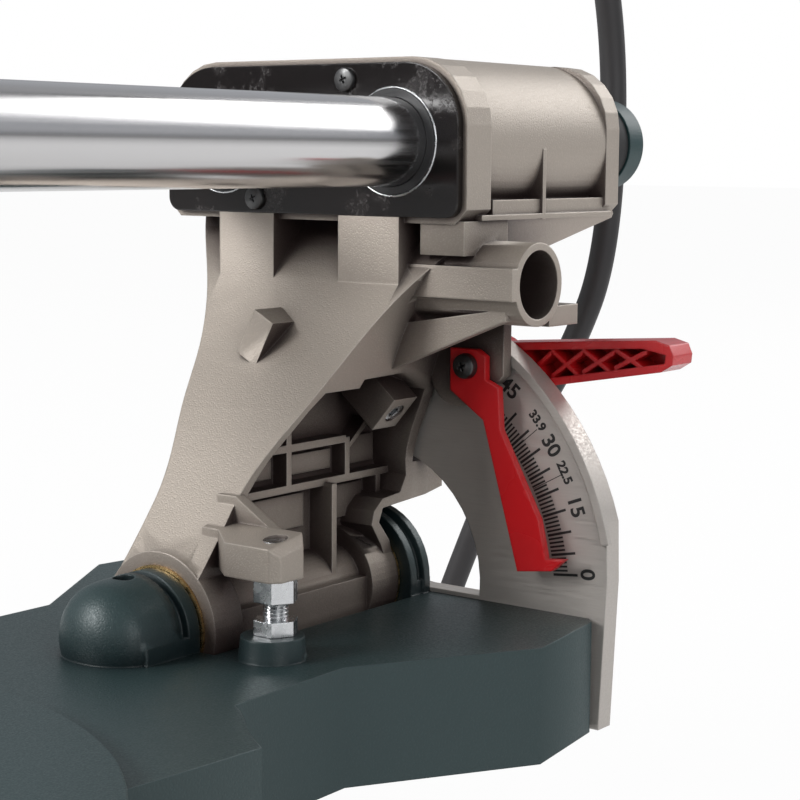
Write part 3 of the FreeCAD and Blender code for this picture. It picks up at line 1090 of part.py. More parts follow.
def motor():
    y, z = "25 - blade_y", "24.5 - blade_down"
    body = ring_solid("X", "motor_r", "motor_r - 4", "motor_start + seat", "motor_end - 34", y, z)
    front = ring_solid("X", "motor_r - 2", "18", "motor_start + seat", "motor_start + 6", y, z)
    foot = box(("motor_start + 20", "motor_end - 44"), ("10 - blade_y", "40 - blade_y"),
               ("24.5 - blade_down + motor_r - 3", "24.5 - blade_down + motor_r + 4"))
    in_head(fuse(body, front, foot), "motor_housing")
    cap = turned("X", [("motor_end - 33.9", "motor_r"), ("motor_end - 8", "motor_r - 2"), ("motor_end", "motor_r - 12"),
                       ("motor_end", "0"), ("motor_end - 4", "0"), ("motor_end - 4", "motor_r - 14"),
                       ("motor_end - 10", "motor_r - 6"), ("motor_end - 33.9", "motor_r - 5")], y, z)
    holes = [rod("Y", "7.55", "24.9 - blade_y + motor_r - 14", "26 - blade_y + motor_r", "motor_end - 22", z),
             rod("Y", "7.55", "24 - blade_y - motor_r", "25.1 - blade_y - motor_r + 14", "motor_end - 22", z)]
    vents = []
    for i in range(5):
        vents.append(box(("motor_end - 5", "motor_end + 1"), ("6 - blade_y", "44 - blade_y"),
                         ("24.5 - blade_down - 17 + %d" % (8 * i), "24.5 - blade_down - 14 + %d" % (8 * i))))
    in_head(cut(cap, *(holes + vents)), "motor_cap")
    brushes = [rod("Y", "7.5", "25 - blade_y + motor_r - 12", "25 - blade_y + motor_r + 1.5", "motor_end - 22", z),
               rod("Y", "7.5", "25 - blade_y - motor_r - 1.5", "25 - blade_y - motor_r + 12", "motor_end - 22", z)]
    in_head(group(*brushes), "brush_caps")
    armature = fuse(rod("X", "26", "motor_start + 14", "motor_end - 60", y, z), rod("X", "6", "24.5", "motor_end - 12", y, z),
                    rod("X", "pinion_r - 0.15", "25", "35", y, z), rod("X", "16", "motor_end - 40", "motor_end - 16", y, z))
    in_head(armature, "armature")


def handle():
    """D-handle in front of the guard, with its trigger and lock-off button."""
    outer = [("-283", "34"), ("-296", "64"), ("-392", "86"), ("-424", "72"), ("-442", "34"), ("-446", "0"),
             ("-432", "-32"), ("-400", "-44"), ("-372", "-44"), ("-362", "-20"), ("-336", "14"), ("-310", "30")]
    inner = [("-322", "42"), ("-385", "58"), ("-404", "48"), ("-414", "26"), ("-414", "2"), ("-404", "-14"),
             ("-378", "-16"), ("-346", "22")]
    body = design()
    pad(body, "YZ", [outer, inner], "-15", "15")
    edge_round(body, "4.5", lambda m, e: not along(e, "x") and not touches_guard(m))
    pocket(body, "YZ", [[("-424", "4"), ("-400", "4"), ("-400", "46"), ("-424", "46")]], "-6.5", "6.5")
    pocket(body, "YZ", [("o", "-366", "70", "6.05")], "5", "17")
    pin = ("-trigger_pin_y", "trigger_pin_z")
    pocket(body, "YZ", [("o", *pin, "trigger_pin_r + run_gap")], "-10", "10")
    guard = rod("X", "guard_in_r + guard_wall + seat", "-20", "20", "-blade_y", "-blade_down")
    in_head(cut(body, guard), "head_handle")
    trigger = prism("YZ", [[("-412", "44"), ("-401", "44"), ("-397", "30"), ("-400", "16"), ("-398", "7"),
                            ("-404", "5"), ("-412", "8")]], "-6", "6")
    in_head(fuse(trigger, rod("X", "trigger_pin_r", "-9.5", "9.5", *pin)), "trigger")
    in_head(rod("X", "6", "9.5", "19.5", "-366", "70"), "lock_off_button")
    button = design()
    spun(button, "Z", [("0", "0"), ("0", "5"), ("18", "5"), ("18", "8"), ("23", "8"), ("24", "7"), ("24", "0")])
    place(button, "30", "-blade_y - 28", "-blade_down + 21")
    in_head(group(button), "spindle_lock_button")


def touches_guard(point):
    """True where the handle meets the guard."""
    reach = math.hypot(point.y + num("blade_y"), point.z + num("blade_down"))
    return reach < num("guard_in_r") + 8


def lower_guard():
    """Clear swinging guard round the lower half of the blade."""
    centre = ("-blade_y", "-blade_down")
    shell = rod("X", "lower_r", "-lower_half", "lower_half", *centre)
    room = rod("X", "lower_r - lower_wall", "lower_wall - lower_half", "lower_half - lower_wall", *centre)
    hub = rod("X", "lower_hole_r + 7", "-lower_half", "lower_half", *centre)
    wedge = prism("YZ", [[centre, radial("200", "300"), radial("235", "300"), radial("270", "300"),
                          radial("315", "300"), radial("355", "300")]], "-20", "20")
    holes = [rod("X", "lower_hole_r", "-20", "0", *centre), rod("X", "nose_r + 0.3", "-1", "20", *centre)]
    solid = cut(common(fuse(shell, hub), fuse(wedge, hub_disc(centre))), room, *holes)
    in_head(solid, "lower_guard")


def hub_disc(centre):
    return rod("X", "lower_hole_r + 7", "-20", "20", *centre)


def saw_blade():
    """Steel disc with hooked teeth and its slots."""
    centre = V(0, -num("blade_y"), -num("blade_down"))
    radius, half = num("blade_r"), num("blade_half")
    teeth = 40
    step = 2 * math.pi / teeth
    corners = []
    for i in range(teeth):
        base = i * step
        for share, reach in ((0.0, radius), (0.30, radius - 2.0), (0.62, radius - 8.0), (0.92, radius - 8.4)):
            angle = base + share * step
            corners.append(V(-half, reach * math.cos(angle), reach * math.sin(angle)))
    wire = Part.makePolygon(corners + [corners[0]])
    disc = Part.Face(wire).extrude(V(2 * half, 0, 0))
    disc = disc.cut(Part.makeCylinder(num("arbor_r") + num("run_gap"), 20, V(-10, 0, 0), V(1, 0, 0)))
    disc.translate(centre)
    in_head(group(made(disc)), "saw_blade")


def arbor():
    y, z = "-blade_y", "-blade_down"
    spindle = fuse(turned("X", [("-4", "0"), ("-4", "arbor_r"), ("blade_half + 0.1", "arbor_r"),
                                ("blade_half + 0.1", "21"), ("6", "21"), ("6", "arbor_r"), ("29.8", "arbor_r"),
                                ("29.8", "arbor_r - 4"), ("case_out - 4", "arbor_r - 4"), ("case_out - 4", "0")], y, z),
                   rod("X", "gear_r - 0.2", "25", "35", y, z))
    in_head(cut(spindle, rod("X", "4.05", "-5", "16", y, z)), "arbor_spindle")
    bolt = turned("X", [("-16", "0"), ("-16", "8"), ("-10", "8"), ("-10", "21"), ("-blade_half - 0.1", "21"),
                             ("-blade_half - 0.1", "arbor_r + 0.1"), ("-4.1", "arbor_r + 0.1"), ("-4.1", "4"),
                             ("15", "4"), ("15", "0")], y, z)
    in_head(bolt, "arbor_bolt")


# Cord

def cord_path(points):
    """Straight runs joined by tangent arcs as large as the two runs allow."""
    edges, radii = [], []
    start = points[0]
    for before, corner, after in zip(points, points[1:], points[2:]):
        into, out = before - corner, after - corner
        into_run, out_run = into.Length, out.Length
        into.normalize()
        out.normalize()
        turn = math.pi - into.getAngle(out)
        reach = 0.45 * min(into_run, out_run)
        radius = reach / math.tan(turn / 2)
        radii.append(radius)
        first, last = corner + into * reach, corner + out * reach
        bisector = into + out
        bisector.normalize()
        middle = corner + bisector * (radius / math.cos(turn / 2) - radius)
        edges.append(Part.LineSegment(start, first).toShape())
        edges.append(Part.Arc(first, middle, last).toShape())
        start = last
    edges.append(Part.LineSegment(start, points[-1]).toShape())
    return Part.Wire(edges), radii


def cord_tube(points, label):
    """A round cord along its path; its volume is compared with section times length."""
    wire, radii = cord_path(points)
    ring = Part.Wire(Part.makeCircle(num("cord_r"), points[0], points[1] - points[0]))
    tube = wire.makePipeShell([ring], True, False)
    wanted = math.pi * num("cord_r") ** 2 * wire.Length
    print(label, "length", round(wire.Length), "radii", [round(r) for r in radii],
          "volume share", round(tube.Volume / wanted, 4))
    in_row(made(tube), label)


def cord():
    """Lead from the carriage over the frame and down behind it, the rest coiled on the bench."""
    gx, gy = num("gland_x"), num("gland_y")
    rise = num("table_z + rail_up + 20")
    meet = V(14.5, 500, 262)
    upper = [V(gx, gy, rise), V(gx, gy, rise + 80), V(50, 62, 418), V(44, 136, 452), V(36, 220, 462),
             V(28, 304, 452), V(21, 384, 424), V(16.5, 452, 376), V(14.4, 499.1, 312), meet]
    cord_tube(upper, "cord_lead_upper")
    floor = num("cord_r") + 0.1
    cx, cy = num("coil_x"), num("coil_y")
    near = cy - num("coil_r") - num("cord_r") * 0.9
    lower = [meet, V(14.6, 501, 206), V(-6, 499, 153), V(-38, 498, 108), V(-57, 497, 64), V(-72, 496, 26),
             V(-100, 493.5, floor + 1.5), V(cx + 33, near + 1.6, floor)]
    cord_tube(lower, "cord_lead_lower")
    ring = cut(rod("Z", "coil_r + 2.4 * cord_r", "0.1", "4 * cord_r + 0.2", "coil_x", "coil_y"),
               rod("Z", "coil_r - 2.4 * cord_r", "-1", "4 * cord_r + 2", "coil_x", "coil_y"))
    tail = rod("X", "cord_r", "coil_x - 62", "coil_x", "coil_y + coil_r + 5", "cord_r + 0.1")
    in_row(fuse(ring, tail), "cord_coil")
    tail_end = "coil_x - 62"
    shell = fuse(turned("X", [(tail_end + " - 26", "0"), (tail_end + " - 26", "8"), (tail_end + " - 0.1", "cord_r + 0.9"),
                              (tail_end + " - 0.1", "0")], "coil_y + coil_r + 5", "9.2"),
                 box((tail_end + " - 58", tail_end + " - 24"), ("coil_y + coil_r - 13", "coil_y + coil_r + 23"),
                     ("0.1", "24")))
    pins = [rod("X", "2.4", tail_end + " - 77", tail_end + " - 56", "coil_y + coil_r + 5 %s 9.5" % sign, "12")
            for sign in ("-", "+")]
    in_row(fuse(shell, *pins), "mains_plug")


def check_document():
    """Stops when any object failed or any piece has no valid shape."""
    doc.recompute()
    failed = [obj.Name for obj in doc.Objects if "Invalid" in obj.State or "Error" in obj.State]
    if failed:
        raise SystemExit("failed objects: %s" % failed)
    for label, obj in PIECES.items():
        if obj.Shape.isNull() or not obj.Shape.isValid():
            raise SystemExit("bad shape: %s" % label)
        if not obj.Shape.Solids:
            raise SystemExit("no solid: %s" % label)


def write_pieces():
    os.makedirs("parts", exist_ok=True)
    for label, obj in PIECES.items():
        obj.Shape.exportStep("parts/%s.step" % label)


BUILDERS = [
    base_casting, rubber_feet, pivot_bolt, mitre_scale, fences, extension_bars, work_clamp,
    turntable, kerf_inserts, mitre_pointer, mitre_handle, detent_lever, tilt_axle, sector_plate,
    tilt_arm, cover_plate, cover_plate_screws, rail_guides, pivot_bushes, tilt_pointer, arm_fasteners,
    tilt_lever, slide_lock_knob, slide_rails, rail_bracket, upper_guard, motor, handle, lower_guard,
    saw_blade, arbor, cord,
]
for builder in BUILDERS:
    builder()
check_document()
write_pieces()
print(len(PIECES), "pieces")
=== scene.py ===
"""Looks of a sliding mitre saw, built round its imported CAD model."""

from __future__ import annotations

import json
import logging
import math
from dataclasses import dataclass, field
from enum import Enum
from typing import Any, Callable, Optional, Sequence, Union

import bmesh
import bpy
from mathutils import Matrix, Vector

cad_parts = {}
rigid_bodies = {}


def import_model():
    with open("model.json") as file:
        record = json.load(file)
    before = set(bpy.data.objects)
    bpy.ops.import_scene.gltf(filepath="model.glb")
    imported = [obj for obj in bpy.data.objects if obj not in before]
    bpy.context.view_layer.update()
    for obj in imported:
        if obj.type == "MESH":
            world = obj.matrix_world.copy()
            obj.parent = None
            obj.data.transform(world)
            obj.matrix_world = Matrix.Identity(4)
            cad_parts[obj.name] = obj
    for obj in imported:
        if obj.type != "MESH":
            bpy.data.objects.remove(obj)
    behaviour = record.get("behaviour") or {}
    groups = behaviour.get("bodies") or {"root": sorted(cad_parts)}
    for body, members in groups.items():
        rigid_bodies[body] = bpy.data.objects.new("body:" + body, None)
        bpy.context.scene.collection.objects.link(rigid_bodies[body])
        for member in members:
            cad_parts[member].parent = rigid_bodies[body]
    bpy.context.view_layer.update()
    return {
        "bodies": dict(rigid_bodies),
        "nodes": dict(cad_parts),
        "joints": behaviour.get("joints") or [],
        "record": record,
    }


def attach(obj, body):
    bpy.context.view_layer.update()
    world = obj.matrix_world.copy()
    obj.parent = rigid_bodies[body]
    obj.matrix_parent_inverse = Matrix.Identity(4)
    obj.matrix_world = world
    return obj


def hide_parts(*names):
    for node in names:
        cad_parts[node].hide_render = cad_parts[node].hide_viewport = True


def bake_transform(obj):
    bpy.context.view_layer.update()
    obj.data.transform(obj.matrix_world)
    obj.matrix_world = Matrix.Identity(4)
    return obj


log = logging.getLogger("mitre_saw")

MM = 0.001
Triple = tuple[float, float, float]
PLATE_Y = 0.315
TABLE_Z = 0.088
TO_FRONT = Vector((0.0, -1.0, 0.0))
FULL_TURN = 2.0 * math.pi


class Slot(str, Enum):
    """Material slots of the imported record."""

    GREEN_CASTING = "green_casting"
    CHAMPAGNE_CASTING = "champagne_casting"
    BLACK_RUBBER = "black_rubber"
    CORD_BLACK = "cord_black"
    ALUMINIUM = "aluminium"
    CHROME = "chrome"
    STEEL = "steel"
    BRASS = "brass"
    RED_PLASTIC = "red_plastic"
    BLACK_PLASTIC = "black_plastic"
    GREEN_PLASTIC = "green_plastic"
    CLEAR_PLASTIC = "clear_plastic"
    CLAMP_CASTING = "clamp_casting"


# ---------------------------------------------------------------- shader bench


class Signal:
    """A number socket on which Python arithmetic adds Math nodes."""

    def __init__(self, bench: "Bench", socket: bpy.types.NodeSocket) -> None:
        """Wraps one output socket.

        Args:
            bench: the material being made.
            socket: a number output of one of its nodes.
        """
        self.bench = bench
        self.socket = socket

    def math(self, operation: str, other: Any = None, swapped: bool = False) -> "Signal":
        """Adds one Math node.

        Args:
            operation: the node's operation.
            other: the second value, if the operation takes one.
            swapped: puts the other value first.

        Returns:
            The node's result.
        """
        pair = [self, other] if other is not None else [self]
        if swapped:
            pair.reverse()
        node = self.bench.node("ShaderNodeMath", {"operation": operation}, dict(enumerate(pair)))
        return Signal(self.bench, node.outputs[0])

    def __add__(self, other: Any) -> "Signal":
        """Sum."""
        return self.math("ADD", other)

    def __radd__(self, other: Any) -> "Signal":
        """Reflected sum."""
        return self.math("ADD", other, True)

    def __sub__(self, other: Any) -> "Signal":
        """Difference."""
        return self.math("SUBTRACT", other)

    def __rsub__(self, other: Any) -> "Signal":
        """Reflected difference."""
        return self.math("SUBTRACT", other, True)

    def __mul__(self, other: Any) -> "Signal":
        """Product."""
        return self.math("MULTIPLY", other)

    def __rmul__(self, other: Any) -> "Signal":
        """Reflected product."""
        return self.math("MULTIPLY", other, True)

    def between(self, low: float, high: float, to_low: float = 0.0, to_high: float = 1.0) -> "Signal":
        """Maps a stretch of values smoothly onto another and clamps it.

        Args:
            low: value that becomes to_low.
            high: value that becomes to_high.
            to_low: result at low.
            to_high: result at high.

        Returns:
            The mapped value.
        """
        node = self.bench.node("ShaderNodeMapRange", {"interpolation_type": "SMOOTHSTEP"},
                               {0: self, 1: low, 2: high, 3: to_low, 4: to_high})
        return Signal(self.bench, node.outputs[0])


Linkable = Union[Signal, bpy.types.NodeSocket, float, Sequence[float]]


def fill_ramp(ramp: bpy.types.Node, stops: Sequence[tuple[float, Triple]]) -> None:
    """Fills a colour ramp.

    Args:
        ramp: the node.
        stops: position and colour of each stop, in order.
    """
    elements = ramp.color_ramp.elements
    while len(elements) < len(stops):
        elements.new(0.5)
    for element, (position, colour) in zip(elements, stops):
        element.position = position
        element.color = (*colour, 1.0)


class Bench:
    """One material with a Principled shader and short ways to add nodes to it."""

    def __init__(self, name: str) -> None:
        """Starts an empty material.

        Args:
            name: the material's name.
        """
        self.material = bpy.data.materials.new(name)
        self.material.use_nodes = True
        self.tree = self.material.node_tree
        self.shader = next(n for n in self.tree.nodes if n.type == "BSDF_PRINCIPLED")
        self._place: Optional[bpy.types.NodeSocket] = None

    def node(self, kind: str, settings: Optional[dict[str, Any]] = None,
             sockets: Optional[dict[Any, Any]] = None) -> bpy.types.Node:
        """Adds a node, sets it up and feeds its sockets.

        Args:
            kind: the node's type.
            settings: its own properties, set first; "stops" fills a ramp.
            sockets: values or links by input name or number.

        Returns:
            The new node.
        """
        made = self.tree.nodes.new(kind)
        for key, value in (settings or {}).items():
            if key == "stops":
                fill_ramp(made, value)
            else:
                setattr(made, key, value)
        for key, value in (sockets or {}).items():
            self.feed(made.inputs[key], value)
        return made

    def feed(self, socket: bpy.types.NodeSocket, value: Any) -> None:
        """Links a socket or sets its value.

        Args:
            socket: an input.
            value: a signal, an output socket, a number or a colour.
        """
        if isinstance(value, Signal):
            value = value.socket
        if isinstance(value, bpy.types.NodeSocket):
            self.tree.links.new(value, socket)
        elif isinstance(value, (tuple, list)) and socket.type == "RGBA":
            socket.default_value = (*value[:3], 1.0)
        else:
            socket.default_value = value

    def place(self) -> bpy.types.NodeSocket:
        """The point of the surface, in metres, in the object's own frame."""
        if self._place is None:
            self._place = self.node("ShaderNodeTexCoord").outputs["Object"]
        return self._place

    def stretched(self, scale: Triple) -> bpy.types.NodeSocket:
        """The point with its axes scaled, so that a pattern runs along one of them."""
        return self.node("ShaderNodeMapping", {}, {"Vector": self.place(), "Scale": scale}).outputs[0]

    def noise(self, size: float, detail: float = 2.0, rough: float = 0.5,
              at: Optional[bpy.types.NodeSocket] = None) -> Signal:
        """Cloudy values of about 0 to 1.

        Args:
            size: size of one cloud in metres, or in pattern units with a stretched place.
            detail: octaves.
            rough: share of each further octave.
            at: place to read, the object's own by default.

        Returns:
            The noise value.
        """
        node = self.node("ShaderNodeTexNoise", {}, {"Vector": at or self.place(), "Scale": 1.0 / size,
                                                    "Detail": detail, "Roughness": rough})
        return Signal(self, node.outputs[0])

    def cells(self, size: float) -> Signal:
        """Distance to scattered points, about one per size."""
        node = self.node("ShaderNodeTexVoronoi", {"feature": "F1"}, {"Vector": self.place(), "Scale": 1.0 / size})
        return Signal(self, node.outputs[0])

    def mix(self, share: Linkable, first: Any, second: Any) -> bpy.types.NodeSocket:
        """Mixes two colours."""
        node = self.node("ShaderNodeMix", {"data_type": "RGBA"}, {0: share, 6: first, 7: second})
        return node.outputs[2]

    def bump(self, height: Signal, distance: float, strength: float = 1.0,
             under: Optional[bpy.types.NodeSocket] = None) -> bpy.types.NodeSocket:
        """Turns a height into a normal.

        Args:
            height: value whose slope tilts the surface.
            distance: metres of height for a value of 1.
            strength: share of the effect.
            under: a normal that this one builds on.

        Returns:
            The normal output.
        """
        sockets: dict[Any, Any] = {"Height": height, "Distance": distance, "Strength": strength}
        if under is not None:
            sockets["Normal"] = under
        return self.node("ShaderNodeBump", {}, sockets).outputs[0]

    def soft_edge(self, radius: float) -> bpy.types.NodeSocket:
        """A normal that is rounded near edges, as cast and moulded corners are."""
        return self.node("ShaderNodeBevel", {"samples": 6}, {"Radius": radius}).outputs[0]

    def edge_highlight_mask(self, radius: float) -> Signal:
        """Mask of crisp outer and inner edges, about 1 there and 0 on open faces, for painted edge highlights.

        Args:
            radius: how far the mask reaches from the edge, in metres.

        Returns:
            The mask.
        """
        rounded = self.node("ShaderNodeBevel", {"samples": 6}, {"Radius": radius})
        true = self.node("ShaderNodeNewGeometry")
        same = self.node("ShaderNodeVectorMath", {"operation": "DOT_PRODUCT"},
                         {0: rounded.outputs[0], 1: true.outputs["Normal"]})
        return Signal(self, same.outputs["Value"]).between(0.995, 0.86)

    def openness(self, reach: float) -> Signal:
        """Share of the surroundings that a point sees within a reach in metres."""
        node = self.node("ShaderNodeAmbientOcclusion", {"samples": 8}, {"Distance": reach})
        return Signal(self, node.outputs["AO"])

    def done(self, **sockets: Any) -> bpy.types.Material:
        """Feeds the shader; underscores in names stand for spaces.

        Returns:
            The finished material.
        """
        for key, value in sockets.items():
            self.feed(self.shader.inputs[key.replace("_", " ")], value)
        return self.material


# ---------------------------------------------------------------- finishes


@dataclass(frozen=True)
class CastPaint:
    """Paint on a die casting: satin, with sand grain, painted shade in recesses and a painted highlight along
    open edges.
    """

    name: str
    tint: Triple
    # recess: colour of the painted shade mixed in where ambient occlusion finds a recess
    recess: Triple
    # edge_highlight_tint: colour of the painted highlight along open edges
    edge_highlight_tint: Triple
    metallic: float = 0.35
    rough: float = 0.46
    grain: float = 0.00045
    grain_depth: float = 0.00011
    edge: float = 0.0009
    # reach: how far, in metres, the painted shade looks for surrounding surfaces
    reach: float = 0.042
    edge_highlight_share: float = 0.55

    def material(self) -> bpy.types.Material:
        """Builds the paint."""
        bench = Bench(self.name)
        clouds = bench.noise(0.05, 3.0)
        grain = bench.noise(self.grain, 2.0, 0.6)
        flakes = bench.cells(self.grain * 1.7).between(0.10, 0.55)
        # Painted shade: ambient occlusion measures how open each point is
        shade = bench.openness(self.reach).between(0.30, 0.97)
        lit = bench.mix(clouds.between(0.3, 0.7) * 0.35, self.tint, tuple(c * 0.90 for c in self.tint))
        speckled = bench.mix((1.0 - flakes) * 0.45 * grain.between(0.35, 0.65), lit,
                             tuple(min(1.0, c * 1.35) for c in self.tint))
        # Painted shade: the colour turns to the recess colour where little of the surroundings is open
        with_painted_shade = bench.mix(shade, self.recess, speckled)
        # Painted highlight: open edges are lightened towards the edge colour
        edge_highlight_amount = bench.edge_highlight_mask(self.edge * 0.6) * self.edge_highlight_share * shade.between(0.1, 0.7)
        colour = bench.mix(edge_highlight_amount, with_painted_shade, self.edge_highlight_tint)
        height = grain * 0.6 + flakes * 0.4
        normal = bench.bump(height, self.grain_depth, 1.0, bench.soft_edge(self.edge))
        return bench.done(Base_Color=colour, Metallic=self.metallic,
                          Roughness=grain.between(0.3, 0.7, self.rough - 0.08, self.rough + 0.08),
                          Normal=normal)


@dataclass(frozen=True)
class SmudgedPlate:
    """Black lacquered sheet with dull greyish smears and a painted highlight along its rim."""

    name: str
    tint: Triple
    smear: Triple

    def material(self) -> bpy.types.Material:
        """Builds the lacquer."""
        bench = Bench(self.name)
        blots = bench.noise(0.016, 7.0, 0.70).between(0.54, 0.60)
        streaks = bench.noise(0.0016, 4.0, 0.7).between(0.45, 0.7)
        dull = blots * streaks.between(0.0, 1.0, 0.35, 1.0)
        colour = bench.mix(dull * 0.40, self.tint, self.smear)
        # Painted highlight: the rim is lightened to a warm grey
        colour = bench.mix(bench.edge_highlight_mask(0.0004) * 0.35, colour, (0.30, 0.27, 0.25))
        normal = bench.bump(streaks * dull, 0.00002, 1.0, bench.soft_edge(0.0007))
        return bench.done(Base_Color=colour, Roughness=dull.between(0.0, 1.0, 0.14, 0.42), Normal=normal)


@dataclass(frozen=True)
class Polished:
    """Hard bright metal with faint grinding marks along one direction."""

    name: str
    tint: Triple
    rough: float = 0.08
    run: Triple = (900.0, 8.0, 900.0)
    depth: float = 0.000002
    edge: float = 0.0
    metallic: float = 1.0

    def material(self) -> bpy.types.Material:
        """Builds the metal."""
        bench = Bench(self.name)
        lines = bench.noise(1.0, 3.0, 0.6, bench.stretched(self.run))
        smear = bench.noise(0.03, 2.0)
        under = bench.soft_edge(self.edge) if self.edge else None
        normal = bench.bump(lines, self.depth, 1.0, under)
        return bench.done(Base_Color=bench.mix(smear * 0.25, self.tint, tuple(c * 0.86 for c in self.tint)),
                          Metallic=self.metallic,
                          Roughness=lines.between(0.3, 0.7, self.rough * 0.8, self.rough * 1.5),
                          Normal=normal)


@dataclass(frozen=True)
class Moulded:
    """Moulded plastic or rubber with a fine leathery grain."""

    name: str
    tint: Triple
    deep: Triple
    rough: float = 0.45
    grain: float = 0.0006
    grain_depth: float = 0.00003
    edge: float = 0.0006
    coat: float = 0.0
    alpha: float = 1.0

    def material(self) -> bpy.types.Material:
        """Builds the plastic."""
        bench = Bench(self.name)
        cells = bench.cells(self.grain).between(0.1, 0.7)
        clouds = bench.noise(0.03, 2.0)
        colour = bench.mix(clouds.between(0.3, 0.7) * 0.6, self.tint, self.deep)
        normal = bench.bump(cells, self.grain_depth, 1.0, bench.soft_edge(self.edge))
        if self.alpha < 1.0:
            bench.material.surface_render_method = "BLENDED"
        return bench.done(Base_Color=colour,
                          Roughness=clouds.between(0.3, 0.7, self.rough - 0.05, self.rough + 0.05),
                          Coat_Weight=self.coat, Coat_Roughness=0.12, Alpha=self.alpha, Normal=normal)


@dataclass(frozen=True)
class Ink:
    """Flat printed ink."""

    name: str
    tint: Triple

    def material(self) -> bpy.types.Material:
        """Builds the ink."""
        bench = Bench(self.name)
        speck = bench.noise(0.0004, 2.0)
        return bench.done(Base_Color=bench.mix(speck * 0.3, self.tint, tuple(c + 0.03 for c in self.tint)),
                          Roughness=speck.between(0.3, 0.7, 0.45, 0.6))


class Paintbox:
    """Every finish of the saw, made once."""

    def __init__(self) -> None:
        """Builds the materials."""
        # Each cast paint gives its tint, then its painted shade colour for recesses, then its painted highlight
        # colour for edges
        self.champagne = CastPaint("warm_grey_paint", (0.44, 0.385, 0.33), (0.050, 0.034, 0.031),
                                   (0.74, 0.67, 0.60)).material()
        self.green = CastPaint("dark_green_paint", (0.030, 0.056, 0.058), (0.004, 0.011, 0.013),
                               (0.10, 0.13, 0.13), metallic=0.1, rough=0.44, grain=0.0006, grain_depth=0.00007,
                               edge_highlight_share=0.4).material()
        self.clamp_paint = CastPaint("black_casting_paint", (0.03, 0.03, 0.032), (0.012, 0.012, 0.012),
                                     (0.12, 0.12, 0.12), metallic=0.1, rough=0.45).material()
        self.chrome = Polished("rail_chrome", (0.66, 0.65, 0.65), rough=0.17, run=(500.0, 2.0, 500.0),
                               depth=0.000004).material()
        self.aluminium = Polished("brushed_aluminium", (0.66, 0.65, 0.63), rough=0.34, run=(12.0, 900.0, 900.0),
                                  depth=0.000008, edge=0.0004).material()
        self.scale_metal = Polished("sector_aluminium", (0.56, 0.52, 0.48), rough=0.42, run=(60.0, 900.0, 1400.0),
                                    depth=0.00001, edge=0.0007, metallic=0.55).material()
        self.zinc = Polished("zinc_plate", (0.66, 0.67, 0.68), rough=0.22, run=(250.0, 250.0, 250.0),
                             depth=0.00001, edge=0.0004).material()
        self.blade_steel = Polished("blade_steel", (0.60, 0.60, 0.60), rough=0.26, run=(60.0, 60.0, 60.0),
                                    depth=0.000008).material()
        self.dark_steel = Polished("dark_steel", (0.10, 0.10, 0.10), rough=0.35, run=(300.0, 300.0, 300.0),
                                   depth=0.00001, edge=0.0004).material()
        self.brass = Polished("turned_brass", (0.64, 0.44, 0.20), rough=0.25, run=(400.0, 30.0, 400.0),
                              depth=0.000004).material()
        self.red = Moulded("red_plastic", (0.62, 0.012, 0.016), (0.50, 0.008, 0.012), rough=0.30, coat=0.25,
                           grain=0.0011, grain_depth=0.00001, edge=0.0009).material()
        self.black = Moulded("black_plastic", (0.020, 0.020, 0.021), (0.013, 0.013, 0.014), rough=0.42).material()
        self.black_gloss = SmudgedPlate("black_plate_lacquer", (0.0075, 0.0055, 0.0052),
                                        (0.075, 0.064, 0.062)).material()
        self.green_plastic = Moulded("green_plastic", (0.016, 0.052, 0.054), (0.011, 0.036, 0.039),
                                     rough=0.42).material()
        self.rubber = Moulded("black_rubber", (0.022, 0.022, 0.023), (0.015, 0.015, 0.016), rough=0.62,
                              grain_depth=0.00005).material()
        self.cord = Moulded("cord_jacket", (0.030, 0.028, 0.029), (0.022, 0.020, 0.021), rough=0.5,
                            grain=0.0016, grain_depth=0.00001, edge=0.0002).material()
        self.clear = Moulded("smoked_clear_plastic", (0.42, 0.45, 0.46), (0.36, 0.39, 0.40), rough=0.12,
                             grain=0.004, grain_depth=0.000005, alpha=0.38).material()
        self.ink = Ink("black_ink", (0.012, 0.012, 0.012)).material()


# ---------------------------------------------------------------- shaping


def round_off(mesh: bpy.types.Mesh, angle: float) -> None:
    """Smooth shading with sharp edges where faces turn by more than an angle in degrees."""
    mesh.polygons.foreach_set("use_smooth", [True] * len(mesh.polygons))
    mesh.set_sharp_from_angle(angle=math.radians(angle))


def new_piece(form: bmesh.types.BMesh, name: str, material: bpy.types.Material,
              angle: float = 35.0) -> bpy.types.Object:
    """Turns a bmesh in row-frame metres into a piece at the origin.

    Args:
        form: the shape; it is freed.
        name: the piece's name.
        material: its finish.
        angle: edges sharper than this stay crisp.

    Returns:
        The new object, linked to the scene.
    """
    mesh = bpy.data.meshes.new(name)
    form.to_mesh(mesh)
    form.free()
    round_off(mesh, angle)
    mesh.materials.append(material)
    piece = bpy.data.objects.new(name, mesh)
    bpy.context.scene.collection.objects.link(piece)
    return piece


def link_mesh(name: str, mesh: bpy.types.Mesh, material: bpy.types.Material) -> bpy.types.Object:
    """Links a mesh as an object with one finish.

    Args:
        name: the piece's name.
        mesh: its shape, in row-frame metres.
        material: its only finish.

    Returns:
        The new object.
    """
    mesh.materials.clear()
    mesh.materials.append(material)
    piece = bpy.data.objects.new(name, mesh)
    bpy.context.scene.collection.objects.link(piece)
    return piece


